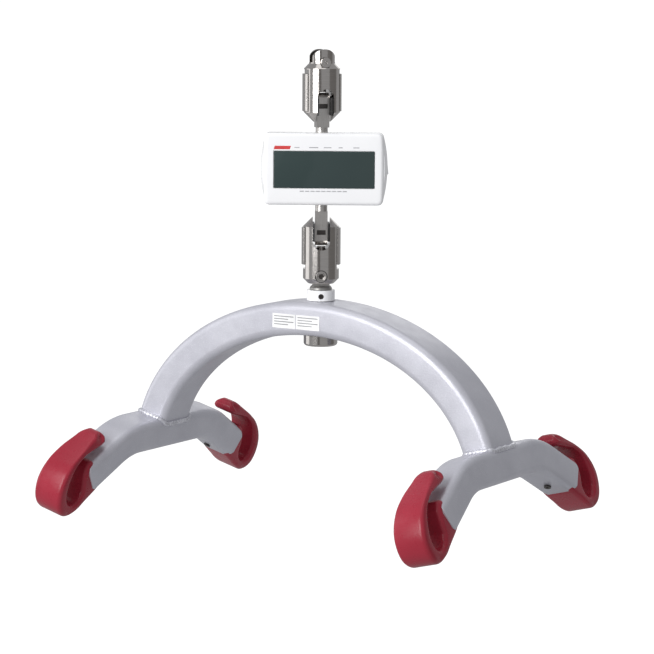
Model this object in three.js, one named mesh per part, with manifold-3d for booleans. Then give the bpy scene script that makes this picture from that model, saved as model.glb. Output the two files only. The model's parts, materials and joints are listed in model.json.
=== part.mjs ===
// Four-point spreader bar for a patient lift, hung under a digital hanging scale.
// The scale hangs between two quick-release couplings. The upper coupling is held by the hoist
// strap round its strap pin, and that pin is the origin. The lower coupling carries the swivel
// bolt on which the arched spreader bar turns. Millimetres, +Z up, X along the arch's span.
import * as THREE from 'three';
import { mergeVertices } from 'three/addons/utils/BufferGeometryUtils.js';
import Module from 'manifold-3d';

const wasm = await Module();
wasm.setup();

// ---------------------------------------------------------------- driving dimensions
const GAP = 0.3;                     // clearance between pieces that touch
const RUN = 0.35;                    // radial clearance round a turning or sliding pin
const deg = THREE.MathUtils.degToRad;

// heights above the lowest point of the hooks
const STRAP_PIN_Z = 453;             // strap pin of the upper coupling: the origin
const UPPER_END_Z = 461;             // upper coupling's strap end
const LOWER_END_Z = 234;             // lower coupling's swivel end
const CASE_Z = 348.5;                // middle of the scale's case
const ARCH_TOP_Z = 216.5;            // crown of the arch

// yaw of the pieces that hang above the swivel, seen from above
const LOWER_YAW = deg(34);
const UPPER_YAW = deg(47);
const SCALE_YAW = deg(31);

// arch: elliptical centre line, rounded rectangular tube
const ARCH = {
  semiX: 199.5, semiZ: 153, thick: 34, depth: 50, round: 8, wall: 3, sweep: deg(79), steps: 18,
};
const ARCH_CENTRE_Z = ARCH_TOP_Z - ARCH.thick / 2 - ARCH.semiZ;

// crossbars: level in the middle, bent down to two straight arms, in a plane that leans towards the arch
const BAR = {
  x: 217, lean: deg(15), width: 37, height: 34, top: 88.75, round: 8, wall: 3,
  level: 50, bendR: 75, bend: deg(30), arm: 62, bendSteps: 4,
};
const BAR_LINE_Z = BAR.top - BAR.height / 2;
const NOSE = { y: 112, z: 48, r: 22 };            // rounded end of a crossbar, under the hook

// hooks
const HOOK = { width: 34.5, tipWidth: 25, taperFrom: 38, top: 86 };
const SPIGOT_FROM = 88;                           // plug of the hook inside the crossbar
const SPIGOT_TO = NOSE.y + NOSE.r;
const HOOK_SCREW = { along: 21, headR: 3.6, headHeight: 1.8, shankR: 2, depth: 12 };

// label films on the front face of the arch
const LABEL = { bottom: 189, top: 203.5, thick: 0.5, left: [-41, -13.8], right: [-13, 14.7] };

// quick-release coupling, measured from its swivel end, opening upwards
const BARREL = { r: 18, length: 67, endR: 13, endChamfer: 5, topR: 8, topChamfer: 10 };
const WINDOW = { half: 8.5, bottom: 34 };
const SHOE = { flat: 15.7, r: 19.5, half: 8.7, from: 19, to: 56 };
const RELEASE_TRAVEL = 4;
const TONGUE_PIN = { z: 44, r: 2.5, half: 15.1 };
const RELEASE_BAR = { z: 31, r: 2.2, half: 15.4 };
const LOCK_BOLT = { r: 4, from: 26.8, to: 37.2 };
const LOCK_BORE = { r: 4.4, bottom: 17 };
const LINER = { inner: 6.65, outer: 8.2, bottom: 42.5, top: 60 };
const SPRING = { r: 3.2, wire: 0.7, turns: 3 };
const CROSS_PIN_Z = 8;                            // cross screw or strap pin above the end
const CHEEK_TOP = 9;                              // height where the strap cheeks widen into the barrel
const END_SLOT = { half: 6.5, swivelR: 7.2, strapR: 8.2 };

// tongue that hangs in a coupling
const TONGUE = { halfX: 6.25, halfY: 6.2, top: 72, slotZ: 51, slotHalfX: 4.4, slotHalfZ: 2.3 };
const STEM_R = 6;

// scale case
const CASE = {
  halfTop: 58, halfMid: 62.8, halfH: 35.7, front: -17, split: -2, back: 23, x: 2.6, wall: 2.4,
};
const LENS = { halfX: 49.9, halfZ: 18.4, x: 0.5, z: -0.5 };
const CELL = { halfX: 15, halfY: 9, halfZ: 26 };  // load cell block
const DOOR = { x0: -52, x1: -20, halfZ: 23 };     // battery door
const KEY = { y: 7, halfY: 3.5, bottom: -6, top: 16.6, stand: 1, flush: -1.2 };
const SCREW = { x: 50, z: 29, headFrom: 8, bossR: 4.2 };
const BATTERY = { r: 5.1, halfLength: 22.2, y: 6, x: [-47.2, -36.6, -26] };
const TRAY = { x0: -54, x1: -18.6, y0: -1.4, y1: 8, halfZ: 24.2, wall: 1.2 };

// swivel
const SWIVEL = { neckR: 11, neckFrom: 227.8, neckTo: 230.8, shankR: 7, tangHalfX: 8.5, tangHalfY: 6.1 };
const COLLAR = { r: 14, from: 216.9, to: 227.4, screwZ: 221.6, screwR: 2.4 };
const CAP = { r: 17, from: 171.4, to: 182.1 };
const BUSH = { r: 10, from: CAP.to + GAP, to: ARCH_TOP_Z - 0.6 };
const SEG = 24;

// ---------------------------------------------------------------- materials
function material(name, color, roughness, metalness) {
  return new THREE.MeshStandardMaterial({ name, color, roughness, metalness });
}
const steel = material('polished_steel', 0xb9b6b2, 0.22, 1);
const darkSteel = material('dark_steel', 0x4a4644, 0.4, 1);
const silverPaint = material('silver_powder_coat', 0xc3c4cc, 0.45, 0.3);
const redPlastic = material('red_plastic', 0xa02f38, 0.38, 0);
const whitePlastic = material('white_plastic', 0xf4f4f6, 0.3, 0);
const lensGlass = material('display_window', 0x445050, 0.15, 0);
const board = material('circuit_board', 0x2c5a3c, 0.6, 0);
const aluminium = material('aluminium', 0xa9abad, 0.4, 1);
const blackPlastic = material('black_plastic', 0x202022, 0.5, 0);
const labelFilm = material('label_film', 0xf6f6f6, 0.5, 0);
const bronze = material('bronze', 0x9b7a45, 0.4, 1);

// ---------------------------------------------------------------- solid helpers
function signedVolume(geometry) {
  const p = geometry.attributes.position;
  const index = geometry.index.array;
  const a = new THREE.Vector3();
  const b = new THREE.Vector3();
  const c = new THREE.Vector3();
  let sum = 0;
  for (let i = 0; i < index.length; i += 3) {
    a.fromBufferAttribute(p, index[i]);
    b.fromBufferAttribute(p, index[i + 1]);
    c.fromBufferAttribute(p, index[i + 2]);
    sum += a.dot(b.cross(c)) / 6;
  }
  return sum;
}

function solid(geometry) {
  const bare = geometry.clone();
  bare.deleteAttribute('normal');
  bare.deleteAttribute('uv');
  const merged = mergeVertices(bare, 1e-4);
  const triVerts = Uint32Array.from(merged.index.array);
  if (signedVolume(merged) < 0) triVerts.reverse();
  const vertProperties = Float32Array.from(merged.attributes.position.array);
  return new wasm.Manifold(new wasm.Mesh({ numProp: 3, vertProperties, triVerts }));
}

function toGeometry(body) {
  const { vertProperties, triVerts } = body.getMesh();
  const geometry = new THREE.BufferGeometry();
  geometry.setAttribute('position', new THREE.BufferAttribute(vertProperties, 3));
  geometry.setIndex(new THREE.BufferAttribute(triVerts, 1));
  geometry.computeVertexNormals();
  return geometry;
}

function part(group, name, body, finish) {
  const mesh = new THREE.Mesh(toGeometry(body), finish.clone());
  mesh.name = name;
  group.add(mesh);
  return mesh;
}

function cut(body, ...tools) {
  return tools.reduce((rest, tool) => rest.subtract(tool), body);
}

function join(body, ...others) {
  return others.reduce((sum, other) => sum.add(other), body);
}

// box between two corners
function box(x0, y0, z0, x1, y1, z1) {
  const geometry = new THREE.BoxGeometry(x1 - x0, y1 - y0, z1 - z0);
  geometry.translate((x0 + x1) / 2, (y0 + y1) / 2, (z0 + z1) / 2);
  return solid(geometry);
}

// round bar along an axis, between two stations on it, through (a, b) on the other two axes
function rod(axis, r, from, to, a = 0, b = 0, segments = SEG) {
  const geometry = new THREE.CylinderGeometry(r, r, to - from, segments);
  const middle = (from + to) / 2;
  if (axis === 'x') geometry.rotateZ(Math.PI / 2).translate(middle, a, b);
  if (axis === 'y') geometry.translate(a, middle, b);
  if (axis === 'z') geometry.rotateX(Math.PI / 2).translate(a, b, middle);
  return solid(geometry);
}

// solid of revolution about Z from [radius, height] points that start and end on the axis
function turned(points, segments = SEG) {
  const profile = points.map(([r, z]) => new THREE.Vector2(r, z));
  return solid(new THREE.LatheGeometry(profile, segments).rotateX(Math.PI / 2));
}

function roundedRect(halfX, halfY, r) {
  const s = new THREE.Shape();
  s.moveTo(-halfX + r, -halfY);
  s.lineTo(halfX - r, -halfY);
  s.absarc(halfX - r, -halfY + r, r, -Math.PI / 2, 0);
  s.lineTo(halfX, halfY - r);
  s.absarc(halfX - r, halfY - r, r, 0, Math.PI / 2);
  s.lineTo(-halfX + r, halfY);
  s.absarc(-halfX + r, halfY - r, r, Math.PI / 2, Math.PI);
  s.lineTo(-halfX, -halfY + r);
  s.absarc(-halfX + r, -halfY + r, r, Math.PI, Math.PI * 1.5);
  return s;
}

// outline drawn in X and Z, extruded along Y between two stations
function slabY(shape, from, to, curveSegments = 4, bevel = 0) {
  const geometry = new THREE.ExtrudeGeometry(shape, {
    depth: to - from - 2 * bevel, curveSegments, bevelEnabled: bevel > 0,
    bevelThickness: bevel, bevelSize: bevel, bevelOffset: -bevel, bevelSegments: 2,
  });
  geometry.rotateX(Math.PI / 2).translate(0, to - bevel, 0);
  return solid(geometry);
}

// outline drawn in Y and Z, extruded along X, centred on X = 0
function slabX(shape, width, curveSegments = 4) {
  const options = { depth: width, curveSegments, bevelEnabled: false };
  const geometry = new THREE.ExtrudeGeometry(shape, options);
  geometry.translate(0, 0, -width / 2);
  geometry.applyMatrix4(new THREE.Matrix4().set(0, 0, 1, 0, 1, 0, 0, 0, 0, 1, 0, 0, 0, 0, 0, 1));
  return solid(geometry);
}

function sweep(shape, path, steps, curveSegments) {
  const options = { steps, curveSegments, extrudePath: path, bevelEnabled: false };
  return solid(new THREE.ExtrudeGeometry(shape, options));
}

// ---------------------------------------------------------------- spreader bar
// centre line of the arch, in the XZ plane
class ArchLine extends THREE.Curve {
  getPoint(t, target = new THREE.Vector3()) {
    const angle = ARCH.sweep * (2 * t - 1);
    return target.set(ARCH.semiX * Math.sin(angle), 0, ARCH_CENTRE_Z + ARCH.semiZ * Math.cos(angle));
  }
}

// centre line of a crossbar, in the YZ plane. Its even steps are one for the level middle,
// bendSteps for each bend and one for each arm.
class CrossbarLine extends THREE.Curve {
  constructor() {
    super();
    this.halfSteps = 0.5 + BAR.bendSteps + 1;
  }

  getUtoTmapping(u) {
    return u;
  }

  getPoint(t, target = new THREE.Vector3()) {
    const step = Math.abs(2 * t - 1) * this.halfSteps;
    const angle = BAR.bend * THREE.MathUtils.clamp((step - 0.5) / BAR.bendSteps, 0, 1);
    const armPart = BAR.arm * Math.max(step - 0.5 - BAR.bendSteps, 0);
    const y = BAR.level * Math.min(2 * step, 1) + BAR.bendR * Math.sin(angle) + armPart * Math.cos(angle);
    const z = BAR_LINE_Z - BAR.bendR * (1 - Math.cos(angle)) - armPart * Math.sin(angle);
    return target.set(0, Math.sign(2 * t - 1) * y, z);
  }
}

// in the frame of one side: origin under the crossbar, Z up its leaning plane
function crossbarSolid(grow, curveSegments) {
  const path = new CrossbarLine();
  // the section's X axis lies along the leaning plane's normal, its Y axis up the crossbar
  const section = roundedRect(BAR.width / 2 + grow, BAR.height / 2 + grow, BAR.round + grow);
  return sweep(section, path, 2 * path.halfSteps, curveSegments);
}

function noseCut(y, z, r) {
  // everything beyond the rounded end: a block with the nose circle left in it
  const reach = 60;
  const block = box(-reach, y, z - reach, reach, y + reach, z + reach);
  return block.subtract(rod('x', r, -reach - 1, reach + 1, y, z, 48));
}

// carries a piece from under the middle of a crossbar out to one arm, square to the underside
function onArm(body) {
  const bendZ = BAR_LINE_Z - BAR.bendR;
  const onLevel = body.translate([0, HOOK_SCREW.along, -bendZ]);
  return onLevel.rotate([-THREE.MathUtils.radToDeg(BAR.bend), 0, 0]).translate([0, BAR.level, bendZ]);
}

function screwHole() {
  const underside = BAR.top - BAR.height;
  return onArm(rod('z', HOOK_SCREW.shankR + RUN, underside - 5, underside + 20, 0, 0, 12));
}

function crossbar() {
  let bar = crossbarSolid(0, 1).subtract(crossbarSolid(-BAR.wall, 1));
  const end = noseCut(NOSE.y, NOSE.z, NOSE.r);
  bar = cut(bar, end, end.rotate([0, 0, 180]));
  return cut(bar, screwHole(), screwHole().rotate([0, 0, 180]));
}

function hookOutline() {
  const s = new THREE.Shape();
  const v = (y, z) => new THREE.Vector2(y, z);
  s.moveTo(118, 24);
  s.lineTo(137.5, 10.5);
  // round the bottom, up the outer wall and back over the top
  s.splineThru([v(151, 3), v(162, 4.6), v(171.5, 14), v(175.3, 29), v(172, 45), v(163, 58),
    v(150, 68)]);
  s.lineTo(124, 84.2);
  s.splineThru([v(117, 85.8), v(111.5, 82), v(111, 76), v(116, 72.6)]);
  s.lineTo(142, 66.4);
  // down the inside of the outer wall and up the crossbar's nose
  s.splineThru([v(154, 57), v(160.5, 44), v(162.3, 30), v(158.5, 19), v(150.5, 14.8),
    v(142.5, 18.5), v(138.6, 28)]);
  s.splineThru([v(140.3, 40), v(139.2, 50), v(135.5, 57.4)]);
  s.lineTo(129, 58.8);
  return s;
}

// front view of a hook: full width low down, narrower towards the tip, rounded corners
function hookFront() {
  const s = new THREE.Shape();
  const low = HOOK.width / 2;
  const high = HOOK.tipWidth / 2;
  s.moveTo(-low + 7, -1);
  s.lineTo(low - 7, -1);
  s.quadraticCurveTo(low, -1, low, 10);
  s.lineTo(low, HOOK.taperFrom);
  s.quadraticCurveTo(low - 1, HOOK.taperFrom + 22, high, HOOK.top - 6);
  s.quadraticCurveTo(high - 1, HOOK.top, high - 7, HOOK.top);
  s.lineTo(-high + 7, HOOK.top);
  s.quadraticCurveTo(-high + 1, HOOK.top, -high, HOOK.top - 6);
  s.quadraticCurveTo(-low + 1, HOOK.taperFrom + 22, -low, HOOK.taperFrom);
  s.lineTo(-low, 10);
  s.quadraticCurveTo(-low, -1, -low + 7, -1);
  return s;
}

function hook() {
  const blank = slabX(hookOutline(), HOOK.width + 2, 2);
  const clear = crossbarSolid(GAP, 1);
  const nose = noseCut(NOSE.y, NOSE.z, NOSE.r + GAP);
  const shell = blank.intersect(slabY(hookFront(), 90, 190, 3)).subtract(clear.subtract(nose));
  // spigot inside the tube
  const core = crossbarSolid(-BAR.wall - GAP, 1);
  const spigot = core.intersect(box(-40, SPIGOT_FROM, 0, 40, SPIGOT_TO, 90));
  return shell.add(spigot).subtract(screwHole());
}

// retaining screw, from below through the tube into the spigot, head against the underside
function hookScrew() {
  const { headR, headHeight, shankR, depth } = HOOK_SCREW;
  const seat = BAR.top - BAR.height - GAP;
  const head = rod('z', headR, seat - headHeight, seat, 0, 0, 18);
  const socket = rod('z', 1.5, seat - headHeight - 1, seat - 0.7, 0, 0, 6);
  const shank = rod('z', shankR, seat - 0.5, seat + depth, 0, 0, 12);
  return onArm(join(head, shank).subtract(socket));
}

function sideGroup(hanger, sideName, sx) {
  const side = new THREE.Group();
  side.position.set(sx * BAR.x, 0, 0);
  side.rotation.y = -sx * BAR.lean;
  hanger.add(side);
  part(side, `crossbar_${sideName}`, crossbar(), silverPaint);
  for (const [endName, turn] of [['rear', 0], ['front', 180]]) {
    part(side, `hook_${endName}_${sideName}`, hook().rotate([0, 0, turn]), redPlastic);
    part(side, `hook_screw_${endName}_${sideName}`, hookScrew().rotate([0, 0, turn]), darkSteel);
  }
  side.updateMatrixWorld(true);
  return side;
}

function archSolid(grow, curveSegments) {
  const section = roundedRect(ARCH.depth / 2 + grow, ARCH.thick / 2 + grow, ARCH.round + grow);
  return sweep(section, new ArchLine(), ARCH.steps, curveSegments);
}

function arch() {
  const tube = archSolid(0, 1).subtract(archSolid(-ARCH.wall, 1));
  const bores = rod('z', BUSH.r + GAP, 150, 240);
  const spotFace = rod('z', CAP.r + 0.7, 150, CAP.to + GAP, 0, 0, 40);
  let body = cut(tube, bores, spotFace);
  for (const sx of [1, -1]) {
    const lean = THREE.MathUtils.radToDeg(-sx * BAR.lean);
    body = body.subtract(crossbarSolid(GAP, 1).rotate([0, lean, 0]).translate([sx * BAR.x, 0, 0]));
  }
  return body;
}

function swivelBush() {
  return rod('z', BUSH.r, BUSH.from, BUSH.to).subtract(rod('z', SWIVEL.shankR + RUN, 170, 230));
}

// label film on the front face near the crown
function label([from, to]) {
  const face = -ARCH.depth / 2 - GAP;
  return box(from, face - LABEL.thick, LABEL.bottom, to, face, LABEL.top);
}

function hangerGroup(root) {
  const hanger = new THREE.Group();
  root.add(hanger);
  part(hanger, 'arch_tube', arch(), silverPaint);
  part(hanger, 'swivel_bush', swivelBush(), bronze);
  part(hanger, 'rating_label_left', label(LABEL.left), labelFilm);
  part(hanger, 'rating_label_right', label(LABEL.right), labelFilm);
  sideGroup(hanger, 'left', -1);
  sideGroup(hanger, 'right', 1);
}

// ---------------------------------------------------------------- swivel
function swivelBolt() {
  const pinZ = LOWER_END_Z + CROSS_PIN_Z;
  const { neckR, neckFrom, neckTo } = SWIVEL;
  const neck = turned([[0, neckFrom], [neckR, neckFrom], [neckR, neckTo - 2],
    [neckR - 2, neckTo], [0, neckTo]]);
  const shank = rod('z', SWIVEL.shankR, CAP.from + 3, SWIVEL.neckFrom + 1);
  const tangFoot = box(-SWIVEL.tangHalfX, -SWIVEL.tangHalfY, SWIVEL.neckTo - 1,
    SWIVEL.tangHalfX, SWIVEL.tangHalfY, pinZ - 3);
  const eye = rod('y', 6.6, -SWIVEL.tangHalfY, SWIVEL.tangHalfY, 0, pinZ, 24);
  const bore = rod('y', 4 + RUN, -20, 20, 0, pinZ, 24);
  return join(shank, neck, tangFoot, eye).subtract(bore);
}

function swivelCollar() {
  const ring = rod('z', COLLAR.r, COLLAR.from, COLLAR.to);
  const bore = rod('z', SWIVEL.shankR + GAP, 200, 240);
  const screwHole = rod('y', COLLAR.screwR + GAP, -20, -SWIVEL.shankR, 0, COLLAR.screwZ, 20);
  return cut(ring, bore, screwHole);
}

function collarScrew() {
  const body = rod('y', COLLAR.screwR, -COLLAR.r + 1.2, -SWIVEL.shankR - GAP, 0, COLLAR.screwZ, 20);
  return body.subtract(rod('y', 1.3, -20, -COLLAR.r + 3.2, 0, COLLAR.screwZ, 6));
}

function swivelCap() {
  const z0 = CAP.from;
  const outline = [[0, z0], [CAP.r - 1.5, z0], [CAP.r, z0 + 1.5], [CAP.r, CAP.to], [0, CAP.to]];
  return turned(outline).subtract(rod('z', SWIVEL.shankR + GAP, z0 + 2.6, 240));
}

function swivelGroup(root) {
  const swivel = new THREE.Group();
  swivel.rotation.z = LOWER_YAW;
  root.add(swivel);
  part(swivel, 'swivel_bolt', swivelBolt(), steel);
  part(swivel, 'swivel_collar', swivelCollar(), whitePlastic);
  part(swivel, 'collar_set_screw', collarScrew(), darkSteel);
  part(swivel, 'swivel_cap', swivelCap(), steel);
}

// ---------------------------------------------------------------- coupling
function barrelBlank(strapEnd) {
  const { r, length, endR, endChamfer, topR, topChamfer } = BARREL;
  const end = strapEnd
    ? [[0, -6], [endR, -6], [endR, CHEEK_TOP], [r, CHEEK_TOP + endChamfer]]
    : [[0, 0], [endR, 0], [r, endChamfer]];
  return turned([...end, [r, length - topChamfer], [topR, length], [0, length]], 32);
}

function coupling(group, prefix, strapEnd) {
  const { half, bottom } = WINDOW;
  const reach = 30;
  let barrel = barrelBlank(strapEnd);
  const window = join(
    box(-half, -reach, bottom + half, half, reach, BARREL.length + 1),
    rod('y', half, -reach, reach, 0, bottom + half));
  const travel = RELEASE_TRAVEL + GAP;
  const pockets = [1, -1].map((side) => {
    const inner = side * (SHOE.flat - GAP);
    const outer = side * reach;
    return box(Math.min(inner, outer), -SHOE.half - GAP, SHOE.from - travel,
      Math.max(inner, outer), SHOE.half + GAP, SHOE.to + GAP);
  });
  const pinBore = rod('x', TONGUE_PIN.r + GAP, -reach, reach, 0, TONGUE_PIN.z, 20);
  const barSlot = box(-reach, -RELEASE_BAR.r - GAP, RELEASE_BAR.z - RELEASE_BAR.r - travel,
    reach, RELEASE_BAR.r + GAP, RELEASE_BAR.z + RELEASE_BAR.r + GAP);
  const lockBore = rod('z', LOCK_BORE.r, LOCK_BORE.bottom, WINDOW.bottom + 4);
  barrel = cut(barrel, window, ...pockets, pinBore, barSlot, lockBore);
  const crossBore = rod('y', (strapEnd ? 5 : 4) + GAP, -reach, reach, 0, CROSS_PIN_Z, 24);
  const headBore = rod('y', 6.3, -reach, -12, 0, CROSS_PIN_Z, 24);
  const endSlot = box(-reach, -END_SLOT.half, -10, reach, END_SLOT.half, CROSS_PIN_Z);
  const slotR = strapEnd ? END_SLOT.strapR : END_SLOT.swivelR;
  const slotTop = rod('y', slotR, -END_SLOT.half, END_SLOT.half, 0, CROSS_PIN_Z);
  if (strapEnd) {
    // two cheeks rounded about the pin, with the strap's slot between them
    const cheeks = join(rod('y', BARREL.endR, -reach, reach, 0, CROSS_PIN_Z),
      box(-reach, -reach, CROSS_PIN_Z, reach, reach, BARREL.length + 5));
    barrel = barrel.intersect(cheeks);
    barrel = cut(barrel, endSlot, slotTop, crossBore);
  } else {
    const tangSlot = box(-SWIVEL.tangHalfX - 2.4, -END_SLOT.half, -1,
      SWIVEL.tangHalfX + 2.4, END_SLOT.half, CROSS_PIN_Z);
    barrel = cut(barrel, tangSlot, slotTop, crossBore, headBore);
  }
  part(group, `${prefix}_barrel`, barrel, steel);
  part(group, `${prefix}_tongue_pin`,
    rod('x', TONGUE_PIN.r, -TONGUE_PIN.half, TONGUE_PIN.half, 0, TONGUE_PIN.z, 20), darkSteel);
  linerParts(group, prefix, pinBore);
  releaseParts(group, prefix);
}

// wear liners on the window's walls, one on each side of the tongue
function linerParts(group, prefix, pinBore) {
  const bounds = rod('z', BARREL.r - 1, LINER.bottom, LINER.top, 0, 0, 32);
  for (const [sideName, side] of [['left', -1], ['right', 1]]) {
    const inner = side * LINER.inner;
    const outer = side * LINER.outer;
    const plate = box(Math.min(inner, outer), -30, LINER.bottom, Math.max(inner, outer), 30, LINER.top);
    part(group, `${prefix}_liner_${sideName}`, plate.intersect(bounds).subtract(pinBore), blackPlastic);
  }
}

function releaseParts(group, prefix) {
  const ring = rod('z', SHOE.r, SHOE.from, SHOE.to, 0, 0, 40);
  for (const [sideName, side] of [['left', -1], ['right', 1]]) {
    const inner = side * SHOE.flat;
    const outer = side * 30;
    const keep = box(Math.min(inner, outer), -SHOE.half, SHOE.from,
      Math.max(inner, outer), SHOE.half, SHOE.to);
    part(group, `${prefix}_release_shoe_${sideName}`, ring.intersect(keep), steel);
  }
  const bolt = rod('z', LOCK_BOLT.r, LOCK_BOLT.from, LOCK_BOLT.to, 0, 0, 24);
  const boltBore = rod('x', RELEASE_BAR.r + GAP, -20, 20, 0, RELEASE_BAR.z, 16);
  part(group, `${prefix}_lock_bolt`, bolt.subtract(boltBore), steel);
  const barHalf = RELEASE_BAR.half - GAP;
  part(group, `${prefix}_release_bar`,
    rod('x', RELEASE_BAR.r, -barHalf, barHalf, 0, RELEASE_BAR.z, 16), darkSteel);
  part(group, `${prefix}_release_spring`, releaseSpring(), darkSteel);
}

// compression spring between the floor of the lock bore and the lock bolt
class SpringLine extends THREE.Curve {
  getPoint(t, target = new THREE.Vector3()) {
    const angle = t * SPRING.turns * 2 * Math.PI;
    const bottom = LOCK_BORE.bottom + GAP + SPRING.wire;
    const top = LOCK_BOLT.from - GAP - SPRING.wire;
    const height = bottom + t * (top - bottom);
    return target.set(SPRING.r * Math.cos(angle), SPRING.r * Math.sin(angle), height);
  }
}

function releaseSpring() {
  const wire = new THREE.Shape();
  wire.absarc(0, 0, SPRING.wire, 0, Math.PI * 2);
  return sweep(wire, new SpringLine(), SPRING.turns * 8, 3);
}

// cap screw through the lower coupling and the swivel bolt's eye
function crossScrew() {
  const head = rod('y', 6, -16.6, -12.3, 0, CROSS_PIN_Z, 24);
  const shank = rod('y', 4, -13, 15.5, 0, CROSS_PIN_Z, 24);
  const socket = rod('y', 2.9, -20, -14, 0, CROSS_PIN_Z, 6);
  return join(head, shank).subtract(socket);
}

// strap pin with a flanged head and a small centre drilling
function strapPin() {
  const shank = rod('y', 5, -16.9, 16.9, 0, CROSS_PIN_Z, 24);
  const dimple = rod('y', 1.2, -20, -15.4, 0, CROSS_PIN_Z, 12);
  return shank.subtract(dimple);
}

function couplingGroups(root) {
  const lower = new THREE.Group();
  lower.position.z = LOWER_END_Z;
  lower.rotation.z = LOWER_YAW;
  root.add(lower);
  coupling(lower, 'lower', false);
  part(lower, 'cross_screw', crossScrew(), darkSteel);

  // the upper coupling is the lower one turned over about its front-to-back axis
  const upper = new THREE.Group();
  const turned = new THREE.Group();
  upper.position.z = UPPER_END_Z;
  upper.rotation.z = UPPER_YAW;
  turned.rotation.y = Math.PI;
  upper.add(turned);
  root.add(upper);
  coupling(turned, 'upper', true);
  part(turned, 'strap_pin', strapPin(), steel);
}

// ---------------------------------------------------------------- scale
// tongue above a lower coupling, measured from the coupling's swivel end
function tongue(stemTo) {
  const { halfX, halfY, top, slotZ, slotHalfX, slotHalfZ } = TONGUE;
  const block = box(-halfX, -halfY, TONGUE_PIN.z, halfX, halfY, top);
  const round = rod('x', halfY, -halfX, halfX, 0, TONGUE_PIN.z, 28);
  const stem = rod('z', STEM_R, top - 1, stemTo, 0, 0, 28);
  const slot = box(-slotHalfX, -20, slotZ - slotHalfZ, slotHalfX, 20, slotZ + slotHalfZ);
  const bore = rod('x', TONGUE_PIN.r + RUN, -20, 20, 0, TONGUE_PIN.z, 20);
  return cut(join(block, round, stem), slot, bore);
}

// front view of the case: straight top and bottom, bowed sides, small round corners
function caseOutline(inset) {
  const s = new THREE.Shape();
  const x = CASE.halfTop - inset;
  const bow = CASE.halfMid - inset;
  const z = CASE.halfH - inset;
  const r = 5;
  s.moveTo(-x + r, -z);
  s.lineTo(x - r, -z);
  s.quadraticCurveTo(x, -z, x + 1, -z + r);
  s.quadraticCurveTo(2 * bow - x - 1, 0, x + 1, z - r);
  s.quadraticCurveTo(x, z, x - r, z);
  s.lineTo(-x + r, z);
  s.quadraticCurveTo(-x, z, -x - 1, z - r);
  s.quadraticCurveTo(-2 * bow + x + 1, 0, -x - 1, -z + r);
  s.quadraticCurveTo(-x, -z, -x + r, -z);
  return s;
}

// side view of the rear shell: full height at the split, curved in towards the back
function rearProfile(inset) {
  const s = new THREE.Shape();
  const z = CASE.halfH - inset;
  const back = CASE.back - inset;
  s.moveTo(CASE.split + GAP - (inset > 0 ? 5 : 0), -z);
  s.lineTo(CASE.split + 5, -z);
  s.bezierCurveTo(back - 6, -z, back, -z * 0.6, back, 0);
  s.bezierCurveTo(back, z * 0.6, back - 6, z, CASE.split + 5, z);
  s.lineTo(CASE.split + GAP - (inset > 0 ? 5 : 0), z);
  return s;
}

const cornerPlaces = [[-1, -1], [1, -1], [-1, 1], [1, 1]].map(
  ([sx, sz]) => [sx * SCREW.x, sz * SCREW.z]);

// the stems pass through the case off its middle, because the case sits off their axis
function stemHoles() {
  return rod('z', STEM_R + 0.6, -60, 60, -CASE.x, 0, 28);
}

// box over the display window, grown by an amount, between two depths
function lensBox(grow, from, to) {
  const { halfX, halfZ, x, z } = LENS;
  return box(x - halfX - grow, from, z - halfZ - grow, x + halfX + grow, to, z + halfZ + grow);
}

function frontShell() {
  const { front, split, wall } = CASE;
  const rim = split - GAP / 2;
  const face = slabY(caseOutline(0), front, rim, 3, 3);
  const sides = slabY(caseOutline(0), front + 6, rim, 3);
  const hollow = slabY(caseOutline(wall), front + wall, split + 1, 3);
  const opening = lensBox(-1.5, front - 5, front + 8);
  const rebate = lensBox(GAP, front - 5, front + 1.2);
  let shell = join(face, sides).subtract(hollow);
  for (const [x, z] of cornerPlaces) {
    const boss = rod('y', SCREW.bossR, front + 1, rim, x, z, 20);
    shell = shell.add(boss).subtract(rod('y', 1.7, front + 4, 10, x, z, 14));
  }
  return cut(shell, opening, rebate, stemHoles());
}

function rearShell() {
  const { split, back, wall } = CASE;
  const blank = slabX(rearProfile(0), 2 * CASE.halfMid + 10, 5)
    .intersect(slabY(caseOutline(0), split, back + 5, 3));
  const inside = slabX(rearProfile(wall), 2 * CASE.halfMid + 10, 5)
    .intersect(slabY(caseOutline(wall), split - 5, back + 5, 3));
  let shell = blank.subtract(inside);
  for (const [x, z] of cornerPlaces) {
    const boss = rod('y', SCREW.bossR, split + GAP, back, x, z, 20).intersect(blank);
    const counterbore = rod('y', 3, SCREW.headFrom, back + 5, x, z, 20);
    shell = cut(shell.add(boss), rod('y', 1.7, split - 1, 20, x, z, 14), counterbore);
  }
  const doorway = box(DOOR.x0 - GAP, 8, -DOOR.halfZ - GAP, DOOR.x1 + GAP, back + 5, DOOR.halfZ + GAP);
  const keyhole = box(CASE.halfMid - 9, KEY.y - KEY.halfY - GAP, KEY.bottom - GAP,
    CASE.halfMid + 9, KEY.y + KEY.halfY + GAP, KEY.top + GAP);
  return cut(shell, doorway, keyhole, stemHoles());
}

// curved panel of the rear shell that closes the battery bay
function batteryDoor() {
  const skin = slabX(rearProfile(0), 140, 5).subtract(slabX(rearProfile(CASE.wall), 142, 5));
  return skin.intersect(box(DOOR.x0, 8, -DOOR.halfZ, DOOR.x1, CASE.back + 5, DOOR.halfZ));
}

function batteryTray() {
  const { x0, x1, y0, y1, halfZ, wall } = TRAY;
  const outer = box(x0, y0, -halfZ, x1, y1, halfZ);
  return outer.subtract(box(x0 + wall, y0 + wall, -halfZ + wall, x1 - wall, y1 + 1, halfZ - wall));
}

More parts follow.
